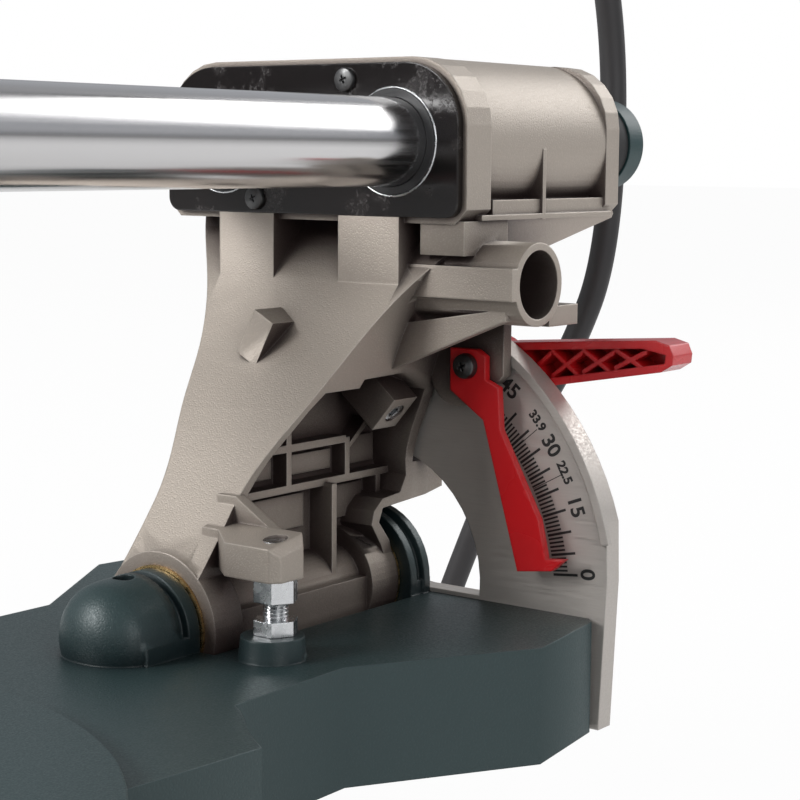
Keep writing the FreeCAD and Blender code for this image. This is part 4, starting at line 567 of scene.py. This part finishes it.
def turned(profile: Sequence[Triple], axis: Triple, steps: int, closed: bool = False,
           weld: float = 1e-6) -> bmesh.types.BMesh:
    """Spins a profile a full turn about an axis through the origin.

    Args:
        profile: points of the outline.
        axis: direction of the axis.
        steps: facets in the turn.
        closed: joins the last point to the first; an open profile gets its ends filled.
        weld: distance in metres under which points merge.

    Returns:
        The turned form.
    """
    form = bmesh.new()
    line = [form.verts.new(point) for point in profile]
    after = line[1:] + line[:1] if closed else line[1:]
    edges = [form.edges.new(pair) for pair in zip(line, after)]
    bmesh.ops.spin(form, geom=line + edges, cent=(0, 0, 0), axis=axis, angle=FULL_TURN, steps=steps,
                   use_merge=True, use_duplicate=False)
    bmesh.ops.remove_doubles(form, verts=form.verts, dist=weld)
    if not closed:
        bmesh.ops.holes_fill(form, edges=form.edges, sides=0)
    bmesh.ops.recalc_face_normals(form, faces=form.faces)
    return form


@dataclass
class Workshop:
    """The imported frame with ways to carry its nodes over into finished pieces."""

    frame: dict[str, Any]
    paint: Paintbox
    body_of: dict[str, str] = field(default_factory=dict)
    slot_of: dict[str, str] = field(default_factory=dict)

    def __post_init__(self) -> None:
        """Notes the body and slot of each node."""
        record = self.frame["record"]
        for body, nodes in record["behaviour"]["bodies"].items():
            self.body_of.update({node: body for node in nodes})
        self.slot_of = {row["node"]: row["material_slot"] for row in record["subparts"]}

    def carry(self, node: str, material: bpy.types.Material, angle: float = 32.0, bevel: float = 0.0,
              reshape: Optional[Callable[[Vector], Vector]] = None, flat: float = 0.08) -> bpy.types.Object:
        """Makes a smooth-shaded copy of a CAD node and shows it in the node's place.

        Args:
            node: the CAD node.
            material: the finish of the copy.
            angle: edges sharper than this stay crisp.
            bevel: width in metres of the edge rounding, or 0.
            reshape: moves each point of the copy, such as to blunt a tip.
            flat: neighbouring facets within this many degrees count as one face.

        Returns:
            The finished piece, which rides on the node's body.
        """
        form = bmesh.new()
        form.from_mesh(self.frame["nodes"][node].data)
        bmesh.ops.remove_doubles(form, verts=form.verts, dist=2e-6)
        bmesh.ops.dissolve_limit(form, angle_limit=math.radians(flat), verts=form.verts, edges=form.edges,
                                 use_dissolve_boundaries=False, delimit=set())
        if reshape is not None:
            for vert in form.verts:
                vert.co = reshape(vert.co)
        piece = new_piece(form, node + "_finished", material, angle)
        if bevel:
            rounding = piece.modifiers.new("edges", "BEVEL")
            rounding.width = bevel
            rounding.segments = 2
            rounding.limit_method = "ANGLE"
            rounding.angle_limit = math.radians(angle)
            rounding.use_clamp_overlap = True
        evening = piece.modifiers.new("even_normals", "WEIGHTED_NORMAL")
        evening.keep_sharp = True
        evening.weight = 50
        self.settle(piece, self.body_of[node], self.slot_of[node], node)
        return piece

    def settle(self, piece: bpy.types.Object, body: str, slot: str, *nodes: str) -> bpy.types.Object:
        """Puts a piece on a body and hides the nodes that it stands for.

        Args:
            piece: the finished piece.
            body: the body that it moves with.
            slot: its material slot; not used.
            nodes: CAD nodes that it replaces, if any.

        Returns:
            The same piece.
        """
        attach(piece, body)
        if nodes:
            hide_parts(*nodes)
        log.info("%s rides on %s", piece.name, body)
        return piece


# ---------------------------------------------------------------- cords


def route_points(points: Sequence[Triple]) -> tuple[bpy.types.Object, list[Vector]]:
    """A NURBS curve through control points in metres, and points read from it.

    Args:
        points: the route's control points.

    Returns:
        The curve object, with no thickness, and the points along its line.
    """
    data = bpy.data.curves.new("route", "CURVE")
    data.dimensions = "3D"
    data.resolution_u = 16
    spline = data.splines.new("NURBS")
    spline.points.add(len(points) - 1)
    for target, point in zip(spline.points, points):
        target.co = (*point, 1.0)
    spline.order_u = 3
    spline.use_endpoint_u = True
    curve = bpy.data.objects.new("route", data)
    bpy.context.scene.collection.objects.link(curve)
    bpy.context.view_layer.update()
    line = bpy.data.meshes.new_from_object(curve.evaluated_get(bpy.context.evaluated_depsgraph_get()))
    path = [v.co.copy() for v in line.vertices]
    bpy.data.meshes.remove(line)
    return curve, path


def length_of(path: Sequence[Vector]) -> float:
    """Length of a line of points."""
    return sum((b - a).length for a, b in zip(path, path[1:]))


@dataclass
class Lead:
    """One stretch of the mains cord."""

    name: str
    points: Sequence[Triple]
    radius: float
    material: bpy.types.Material

    def build(self) -> tuple[bpy.types.Object, list[Vector]]:
        """Makes the cord as a mesh tube along its route.

        Returns:
            The tube and the points that it follows.
        """
        curve, path = route_points(self.points)
        curve.data.bevel_depth = self.radius
        curve.data.bevel_resolution = 5
        curve.data.use_fill_caps = True
        bpy.context.view_layer.update()
        mesh = bpy.data.meshes.new_from_object(curve.evaluated_get(bpy.context.evaluated_depsgraph_get()))
        bpy.data.objects.remove(curve)
        round_off(mesh, 60.0)
        return link_mesh(self.name, mesh, self.material), path


@dataclass
class MainsCord:
    """Lead from the carriage over the frame, down behind it and coiled on the bench."""

    shop: Workshop
    radius: float = 0.0055
    meet: Triple = (0.0145, 0.500, 0.262)
    coil_x: float = -0.166
    coil_y: float = 0.545
    outer_lane: float = 0.0566
    turns: float = 3.27
    steps: int = 16
    plug_bend: Triple = (-0.227, 0.558, 0.042)

    def upper_route(self) -> list[Triple]:
        """Points of the lead over the frame."""
        points = [(56, 20, 267.4), (56, 20, 347.4), (50, 62, 418), (44, 136, 452), (36, 220, 462),
                  (28, 304, 452), (21, 384, 424), (16.5, 452, 376), (14.4, 499.1, 312)]
        return [(x * MM, y * MM, z * MM) for x, y, z in points] + [self.meet]

    def lower_route(self) -> list[Triple]:
        """Points of the lead down to the bench."""
        floor = self.radius / MM + 0.1
        points = [(14.6, 501, 206), (-6, 499, 153), (-38, 498, 108), (-57, 497, 64), (-72, 496, 26),
                  (-100, 493.5, floor + 1.5), (-133, 491.65, floor)]
        return [self.meet] + [(x * MM, y * MM, z * MM) for x, y, z in points]

    @staticmethod
    def ease(share: float, start: float, end: float) -> float:
        """Smooth step from 0 to 1 between two values."""
        t = min(1.0, max(0.0, (share - start) / (end - start)))
        return t * t * (3.0 - 2.0 * t)

    def coil_route(self) -> list[Triple]:
        """Points of the turns, which lie in two lanes on the bench, then on top of them.

        Returns:
            The route, whose last slack turn crosses the others to the plug.
        """
        floor, gauge, ease = self.radius + 0.0001, 2.0 * self.radius, self.ease
        points: list[Triple] = [(-0.133, 0.49165, floor), (-0.149, 0.4903, floor)]
        for i in range(round(self.turns * self.steps) + 1):
            turns = i / self.steps
            reach = (self.outer_lane - 0.0117 * ease(turns, 0.8, 1.1) + 0.0060 * ease(turns, 1.85, 2.1)
                     - 0.0035 * ease(turns, 2.4, 3.1))
            middle = self.coil_x + 0.026 * ease(turns, 2.3, 3.15)
            height = floor + gauge * (1.02 * ease(turns, 1.5, 1.84) - 0.12 * ease(turns, 2.15, 2.35)
                                      + 0.12 * ease(turns, 2.55, 2.7) + 0.62 * ease(turns, 3.02, 3.27))
            angle = -math.pi / 2 - turns * FULL_TURN
            points.append((middle + reach * math.cos(angle), self.coil_y + reach * math.sin(angle), height))
        bend_x, bend_y, bend_r = self.plug_bend
        for degrees, height in ((24.0, 0.0268), (46.0, 0.0274), (66.0, 0.0200)):
            turn = math.radians(degrees)
            points.append((bend_x + bend_r * math.cos(turn), bend_y + bend_r * math.sin(turn), height))
        return points + [(-0.2195, 0.5998, 0.0118), (-0.228, 0.600, 0.0092)]

    def build(self) -> None:
        cord = self.shop.paint.cord
        for name, route, node, near, far in (
                ("cord_over_frame", self.upper_route(), "cord_lead_upper", "carriage", "arm"),
                ("cord_down_to_bench", self.lower_route(), "cord_lead_lower", "arm", "table")):
            lead, path = Lead(name, route, self.radius, cord).build()
            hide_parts(node)
            length_of(path)
            2 * self.radius
            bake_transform(lead)
        coil, path = Lead("cord_turns", self.coil_route(), self.radius, cord).build()
        self.shop.settle(coil, "table", Slot.CORD_BLACK.value, "cord_coil")
        plug = self.shop.carry("mains_plug", cord, bevel=0.0008)
        length_of(path)
        2 * self.radius


# ---------------------------------------------------------------- sub-assemblies


@dataclass
class TiltScale:
    """Sector plate with its printed degrees."""

    shop: Workshop
    zero: float = 5.9
    face: float = PLATE_Y + 0.0427
    long_out: float = 0.0895
    short_out: float = 0.0855
    inside: float = 0.0795
    ink_high: float = 0.00012
    numbers: tuple[tuple[str, float, float, float], ...] = (
        ("0", 0.2, 8.0, 93.4), ("15", 15.0, 7.8, 93.8), ("22.5", 22.6, 4.9, 94.2),
        ("30", 29.1, 7.8, 94.0), ("33.9", 35.3, 4.7, 94.6), ("45", 45.0, 8.0, 94.0))

    def build(self) -> None:
        """Dresses the plate and prints its marks and numbers."""
        self.shop.carry("sector_plate", self.shop.paint.scale_metal, 30.0)
        self.shop.settle(self.marks(), "table", Slot.ALUMINIUM.value)
        for text, degree, size, reach in self.numbers:
            self.number(text, degree, size * MM, reach * MM)

    def marks(self) -> bpy.types.Object:
        """Thin raised lines for the degrees: degree, width in millimetres and outer end."""
        form = bmesh.new()
        long, short = (0.92, self.long_out), (0.70, self.short_out)
        degrees = [(float(d), *(long if d % 5 == 0 else short)) for d in range(46)]
        degrees += [(degree, 0.28, self.long_out + 0.003) for degree in (22.5, 33.9)]
        for degree, width, outer in degrees:
            cube = bmesh.ops.create_cube(form, size=1.0)["verts"]
            bmesh.ops.scale(form, verts=cube, vec=(outer - self.inside, self.ink_high, width * MM))
            turn = Matrix.Rotation(-math.radians(self.zero + degree), 3, "Y")
            middle = Vector(((outer + self.inside) / 2, 0.0, 0.0))
            bmesh.ops.translate(form, verts=cube, vec=middle)
            bmesh.ops.rotate(form, verts=cube, cent=(0, 0, 0), matrix=turn)
            bmesh.ops.translate(form, verts=cube, vec=(0.0, self.face, TABLE_Z))
        return new_piece(form, "tilt_scale_marks", self.shop.paint.ink)

    def number(self, text: str, degree: float, size: float, reach: float) -> None:
        """One printed number whose top points outwards.

        Args:
            text: the number.
            degree: its place on the scale.
            size: its height in metres.
            reach: its distance from the tilt axis.
        """
        data = bpy.data.curves.new("number", "FONT")
        data.body = text
        data.size = size
        data.align_x = "CENTER"
        data.align_y = "CENTER"
        data.extrude = 0.00006
        data.offset = 0.00019
        glyphs = bpy.data.objects.new("number", data)
        bpy.context.scene.collection.objects.link(glyphs)
        bpy.context.view_layer.update()
        mesh = bpy.data.meshes.new_from_object(glyphs.evaluated_get(bpy.context.evaluated_depsgraph_get()))
        bpy.data.objects.remove(glyphs)
        angle = math.radians(self.zero + degree)
        upright = Matrix.Rotation(math.pi / 2, 4, "X")
        outward = Matrix.Rotation(math.pi / 2 - angle, 4, "Y")
        spot = Vector((reach * math.cos(angle), self.face, TABLE_Z + reach * math.sin(angle)))
        mesh.transform(Matrix.Translation(spot) @ outward @ upright)
        piece = link_mesh("tilt_scale_%s" % text.replace(".", "_"), mesh, self.shop.paint.ink)
        self.shop.settle(piece, "table", Slot.ALUMINIUM.value)


@dataclass
class CrossHead:
    """Black cross-recess screw head whose face looks along one direction."""

    centre: Vector
    outward: Vector
    radius: float
    height: float
    rim: float = 0.22
    slant: float = 0.4

    def build(self, name: str, material: bpy.types.Material) -> bpy.types.Object:
        """Turns the head and sinks its recess.

        Args:
            name: the piece's name.
            material: its finish.

        Returns:
            The head, centred with its face at the given point.
        """
        r, h = self.radius, self.height
        profile = [(0.0, 0.0), (r * 0.72, -h * 0.06), (r * 0.93, -h * self.rim), (r, -h * 0.5), (r, -h)]
        head = new_piece(turned([(x, 0.0, z) for x, z in profile], (0, 0, 1), 40), name, material, 40.0)
        cutter = bmesh.new()
        for turn in (self.slant, self.slant + math.pi / 2):
            slot = bmesh.ops.create_cone(cutter, cap_ends=True, cap_tris=False, segments=4, radius1=r * 0.16,
                                         radius2=r * 0.34, depth=h * 0.9)["verts"]
            bmesh.ops.rotate(cutter, verts=slot, cent=(0, 0, 0), matrix=Matrix.Rotation(math.pi / 4, 3, "Z"))
            bmesh.ops.scale(cutter, verts=slot, vec=(2.1, 0.55, 1.0))
            bmesh.ops.rotate(cutter, verts=slot, cent=(0, 0, 0), matrix=Matrix.Rotation(turn, 3, "Z"))
        tool = new_piece(cutter, name + "_recess", material)
        cut = head.modifiers.new("recess", "BOOLEAN")
        cut.operation = "DIFFERENCE"
        cut.solver = "EXACT"
        cut.use_self = True
        cut.object = tool
        bpy.context.view_layer.update()
        mesh = bpy.data.meshes.new_from_object(head.evaluated_get(bpy.context.evaluated_depsgraph_get()))
        head.modifiers.clear()
        head.data = mesh
        bpy.data.objects.remove(tool)
        stand = self.outward.to_track_quat("Z", "Y").to_matrix().to_4x4()
        mesh.transform(Matrix.Translation(self.centre) @ stand)
        round_off(mesh, 35.0)
        return head


@dataclass
class ScrewThread:
    """Ridges round a plain shank."""

    centre: Vector
    axis: Vector
    radius: float
    length: float
    pitch: float = 0.00125
    root: float = 0.90

    def build(self, name: str, material: bpy.types.Material) -> bpy.types.Object:
        """Spins a saw-tooth profile about the shank's axis.

        Args:
            name: the piece's name.
            material: its finish.

        Returns:
            The ridges, centred on their place.
        """
        count = max(2, round(self.length / self.pitch))
        profile: list[Triple] = []
        for i in range(count):
            z = i * self.pitch - self.length / 2
            profile += [(self.radius * self.root, 0.0, z), (self.radius, 0.0, z + self.pitch * 0.5)]
        profile.append((self.radius * self.root, 0.0, count * self.pitch - self.length / 2))
        form = turned(profile, (0, 0, 1), 32)
        stand = self.axis.to_track_quat("Z", "Y").to_matrix().to_4x4()
        bmesh.ops.transform(form, matrix=Matrix.Translation(self.centre) @ stand, verts=form.verts)
        return new_piece(form, name, material, 25.0)


@dataclass
class BrightRim:
    """Thin rubbed ring where a bore's edge shows through the paint."""

    centre: Vector
    radius: float
    width: float = 0.0007

    def build(self, name: str, material: bpy.types.Material) -> bpy.types.Object:
        """Makes a flat ring that looks to the front.

        Args:
            name: the piece's name.
            material: its finish.

        Returns:
            The ring, round its centre.
        """
        r, w = self.radius, self.width
        profile = [(r, 0.0), (r, -0.00030), (r + w * 0.5, -0.00045), (r + w, -0.00012), (r + w, 0.0)]
        form = turned([(x, y, 0.0) for x, y in profile], (0, 1, 0), 72, closed=True, weld=1e-7)
        bmesh.ops.translate(form, verts=form.verts, vec=self.centre)
        return new_piece(form, name, material, 30.0)


@dataclass
class TiltArm:
    """Ribbed casting, housing, plate, pointer and fasteners."""

    shop: Workshop
    rail_x: float = 0.0386
    rail_z: float = 0.2474
    bore_r: float = 0.0180
    lever_blunt: float = 0.1165
    tip_share: float = 0.42

    def blunt(self, point: Vector) -> Vector:
        """Draws the lever's tip in to its short rounded cap."""
        if point.x > self.lever_blunt:
            beyond = point.x - self.lever_blunt
            return Vector((self.lever_blunt + beyond * self.tip_share, point.y, point.z))
        return point

    def build(self) -> None:
        """Dresses the arm's pieces."""
        shop, paint = self.shop, self.shop.paint
        shop.carry("tilt_arm", paint.champagne, 11.0, flat=0.3)
        shop.carry("cover_plate", paint.black_gloss, 30.0, 0.0004)
        self.screws()
        shop.carry("lug_screw", paint.zinc)
        for node in ("tilt_stop_bolts", "tilt_stop_nuts", "tilt_clamp_bolt", "sector_bolts", "tilt_axle",
                     "rail_bearings"):
            shop.carry(node, paint.zinc)
        self.threads()
        shop.carry("rail_wipers", paint.black)
        shop.carry("pivot_bushes", paint.brass)
        shop.carry("tilt_pointer", paint.red, 40.0)
        shop.carry("tilt_lever", paint.red, 30.0, reshape=self.blunt)
        shop.carry("slide_lock_knob", paint.black)
        for side, x in (("right", self.rail_x), ("left", -self.rail_x)):
            rim = BrightRim(Vector((x, PLATE_Y, self.rail_z)), self.bore_r)
            shop.settle(rim.build("plate_bore_rim_" + side, paint.zinc), "arm", Slot.STEEL.value)

    def screws(self) -> None:
        """Cross-recess screws of the cover plate and the pointer."""
        for name, at, radius, height, node in (
                ("plate_screw_upper", (0.0183, 0.3130, 0.2685), 0.0042, 0.0020, "cover_plate_screws"),
                ("plate_screw_lower", (-0.0229, 0.3130, 0.2273), 0.0042, 0.0020, "cover_plate_screws"),
                ("pointer_screw_head", (0.0474, 0.3442, 0.1689), 0.0046, 0.0050, "pointer_screw")):
            head = CrossHead(Vector(at), TO_FRONT, radius, height).build(name, self.shop.paint.dark_steel)
            self.shop.settle(head, "arm", Slot.STEEL.value, node)

    def threads(self) -> None:
        """Threads of the stop bolts between head and lock nut."""
        low, high = Vector((0.0420, 0.2504, 0.0955)), Vector((0.0420, 0.2504, 0.1012))
        thread = ScrewThread((low + high) / 2, high - low, 0.0042, (high - low).length)
        piece = thread.build("stop_bolt_thread", self.shop.paint.zinc)
        self.shop.settle(piece, "arm", Slot.STEEL.value)


@dataclass
class Carriage:
    """Rails with their caps, and the bracket that carries the head."""

    shop: Workshop

    def build(self) -> None:
        """Dresses the carriage."""
        shop, paint = self.shop, self.shop.paint
        shop.carry("slide_rails", paint.chrome, 30.0)
        for node in ("rail_bumpers", "cord_gland"):
            shop.carry(node, paint.rubber)
        shop.carry("rail_end_caps", paint.green_plastic)
        shop.carry("rail_bracket", paint.green)
        for node in ("chop_axle", "return_spring", "head_lock_pin"):
            shop.carry(node, paint.zinc)


@dataclass
class SawHead:
    """Guard casting, motor, handle, blade and its clear guard."""

    shop: Workshop

    def build(self) -> None:
        """Dresses the head."""
        shop, paint = self.shop, self.shop.paint
        shop.carry("upper_guard", paint.champagne, 28.0)
        shop.carry("motor_housing", paint.green_plastic)
        for node in ("motor_cap", "brush_caps", "head_handle", "lock_off_button", "spindle_lock_button"):
            shop.carry(node, paint.black)
        shop.carry("trigger", paint.red)
        shop.carry("lower_guard", paint.clear)
        shop.carry("saw_blade", paint.blade_steel)
        for node in ("arbor_spindle", "arbor_bolt", "armature"):
            shop.carry(node, paint.zinc)


@dataclass
class BaseAndTable:
    """Base casting, fences, clamp and turntable."""

    shop: Workshop

    def build(self) -> None:
        """Dresses everything that stands on the bench."""
        shop, paint = self.shop, self.shop.paint
        for node in ("base_casting", "turntable"):
            shop.carry(node, paint.green, 28.0)
        shop.carry("rubber_feet", paint.rubber)
        for node in ("fence_left", "fence_right", "sliding_fence_left", "sliding_fence_right",
                     "mitre_scale"):
            shop.carry(node, paint.aluminium)
        for node in ("pivot_bolt", "extension_bar_left", "extension_bar_right", "clamp_screw", "detent_lever"):
            shop.carry(node, paint.zinc)
        shop.carry("clamp_arm", paint.clamp_paint)
        for node in ("clamp_pad", "mitre_handle"):
            shop.carry(node, paint.black)
        for node in ("kerf_inserts", "mitre_pointer"):
            shop.carry(node, paint.red)


# ---------------------------------------------------------------- studio


@dataclass
class Studio:
    """Floor, soft lights, pale surroundings and the camera."""

    eye: Triple = (0.4386, -0.2092, 0.2432)
    yaw: float = 0.6469
    pitch: float = 0.1267
    roll: float = 0.0073
    focal_px: float = 1928.25
    frame_px: float = 800.0
    sky_strength: float = 0.50
    sky_stops: tuple[tuple[float, Triple], ...] = (
        (0.0, (0.50, 0.49, 0.49)), (0.47, (0.42, 0.41, 0.41)), (0.505, (0.20, 0.19, 0.19)),
        (0.56, (0.80, 0.83, 0.88)), (0.76, (0.86, 0.89, 0.94)), (1.0, (0.55, 0.54, 0.53)))
    lamps: tuple[tuple[str, Triple, Triple, float, float], ...] = (
        ("key", (-0.9, -1.5, 1.2), (0.0, 0.3, 0.2), 0.9, 40.0),
        ("fill", (1.9, -0.5, 0.8), (0.05, 0.3, 0.12), 1.0, 9.0),
        ("back", (0.6, 2.2, 1.5), (0.0, 0.3, 0.1), 1.4, 26.0))

    def build(self) -> None:
        """Sets up the whole studio."""
        self.floor()
        self.surroundings()
        for lamp in self.lamps:
            self.lamp(*lamp)
        self.camera()
        bpy.context.scene.view_settings.view_transform = "Standard"

    def floor(self) -> None:
        """A pale floor that stays white to the camera and keeps a soft shadow."""
        form = bmesh.new()
        bmesh.ops.create_grid(form, x_segments=2, y_segments=2, size=14.0)
        bench = Bench("pale_floor")
        bench.done(Base_Color=(0.86, 0.86, 0.86), Roughness=0.75)
        output = next(n for n in bench.tree.nodes if n.type == "OUTPUT_MATERIAL")
        rays = bench.node("ShaderNodeLightPath")
        seen = (Signal(bench, rays.outputs["Is Camera Ray"]) * 0.96
                + Signal(bench, rays.outputs["Is Glossy Ray"]) * 0.40)
        glow = bench.node("ShaderNodeEmission", {}, {"Color": (1.0, 1.0, 1.0), "Strength": 1.0})
        blend = bench.node("ShaderNodeMixShader", {},
                           {0: seen, 1: bench.shader.outputs[0], 2: glow.outputs[0]})
        bench.tree.links.new(blend.outputs[0], output.inputs[0])
        plane = new_piece(form, "floor", bench.material)

    def surroundings(self) -> None:
        """White to the camera; a soft sky for light and reflections."""
        world = bpy.data.worlds.new("studio")
        bpy.context.scene.world = world
        world.use_nodes = True
        tree = world.node_tree
        tree.nodes.clear()
        output = tree.nodes.new("ShaderNodeOutputWorld")
        rays = tree.nodes.new("ShaderNodeLightPath")
        place = tree.nodes.new("ShaderNodeTexCoord")
        split = tree.nodes.new("ShaderNodeSeparateXYZ")
        ramp = tree.nodes.new("ShaderNodeValToRGB")
        fill_ramp(ramp, self.sky_stops)
        up = tree.nodes.new("ShaderNodeMapRange")
        up.inputs[1].default_value = -1.0
        tree.links.new(place.outputs["Generated"], split.inputs[0])
        tree.links.new(split.outputs["Z"], up.inputs[0])
        tree.links.new(up.outputs[0], ramp.inputs[0])
        sky = tree.nodes.new("ShaderNodeBackground")
        sky.inputs["Strength"].default_value = self.sky_strength
        tree.links.new(ramp.outputs[0], sky.inputs["Color"])
        white = tree.nodes.new("ShaderNodeBackground")
        white.inputs["Color"].default_value = (1.0, 1.0, 1.0, 1.0)
        mix = tree.nodes.new("ShaderNodeMixShader")
        tree.links.new(rays.outputs["Is Camera Ray"], mix.inputs[0])
        tree.links.new(sky.outputs[0], mix.inputs[1])
        tree.links.new(white.outputs[0], mix.inputs[2])
        tree.links.new(mix.outputs[0], output.inputs[0])

    def lamp(self, name: str, at: Triple, towards: Triple, size: float, power: float) -> None:
        """One square soft light.

        Args:
            name: the light's name.
            at: its place.
            towards: the point that it faces.
            size: its side in metres.
            power: watts.
        """
        data = bpy.data.lights.new(name, "AREA")
        data.shape = "SQUARE"
        data.size = size
        data.energy = power
        light = bpy.data.objects.new(name, data)
        light.location = at
        light.rotation_mode = "QUATERNION"
        light.rotation_quaternion = (Vector(towards) - Vector(at)).to_track_quat("-Z", "Y")
        bpy.context.scene.collection.objects.link(light)

    def camera(self) -> None:
        """The photograph's viewpoint."""
        sin_yaw, cos_yaw = math.sin(self.yaw), math.cos(self.yaw)
        level = math.cos(self.pitch)
        forward = Vector((-sin_yaw * level, cos_yaw * level, -math.sin(self.pitch)))
        right = Vector((cos_yaw, sin_yaw, 0.0))
        above = right.cross(forward)
        turned = right * math.cos(self.roll) + above * math.sin(self.roll)
        above = above * math.cos(self.roll) - right * math.sin(self.roll)
        data = bpy.data.cameras.new("camera")
        data.sensor_width = 36.0
        data.lens = self.focal_px / self.frame_px * data.sensor_width
        data.clip_start = 0.01
        data.clip_end = 60.0
        camera = bpy.data.objects.new("camera", data)
        camera.matrix_world = Matrix((turned, above, -forward)).transposed().to_4x4()
        camera.location = self.eye
        bpy.context.scene.collection.objects.link(camera)
        bpy.context.scene.camera = camera


def main() -> None:
    """Builds the saw's looks in order."""
    logging.basicConfig(level=logging.INFO, format="%(message)s")
    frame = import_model()
    shop = Workshop(frame, Paintbox())
    Studio().build()
    for unit in (MainsCord(shop), BaseAndTable(shop), TiltScale(shop), TiltArm(shop), Carriage(shop),
                 SawHead(shop)):
        unit.build()
        log.info("%s done", type(unit).__name__)


if __name__ == "__main__":
    main()
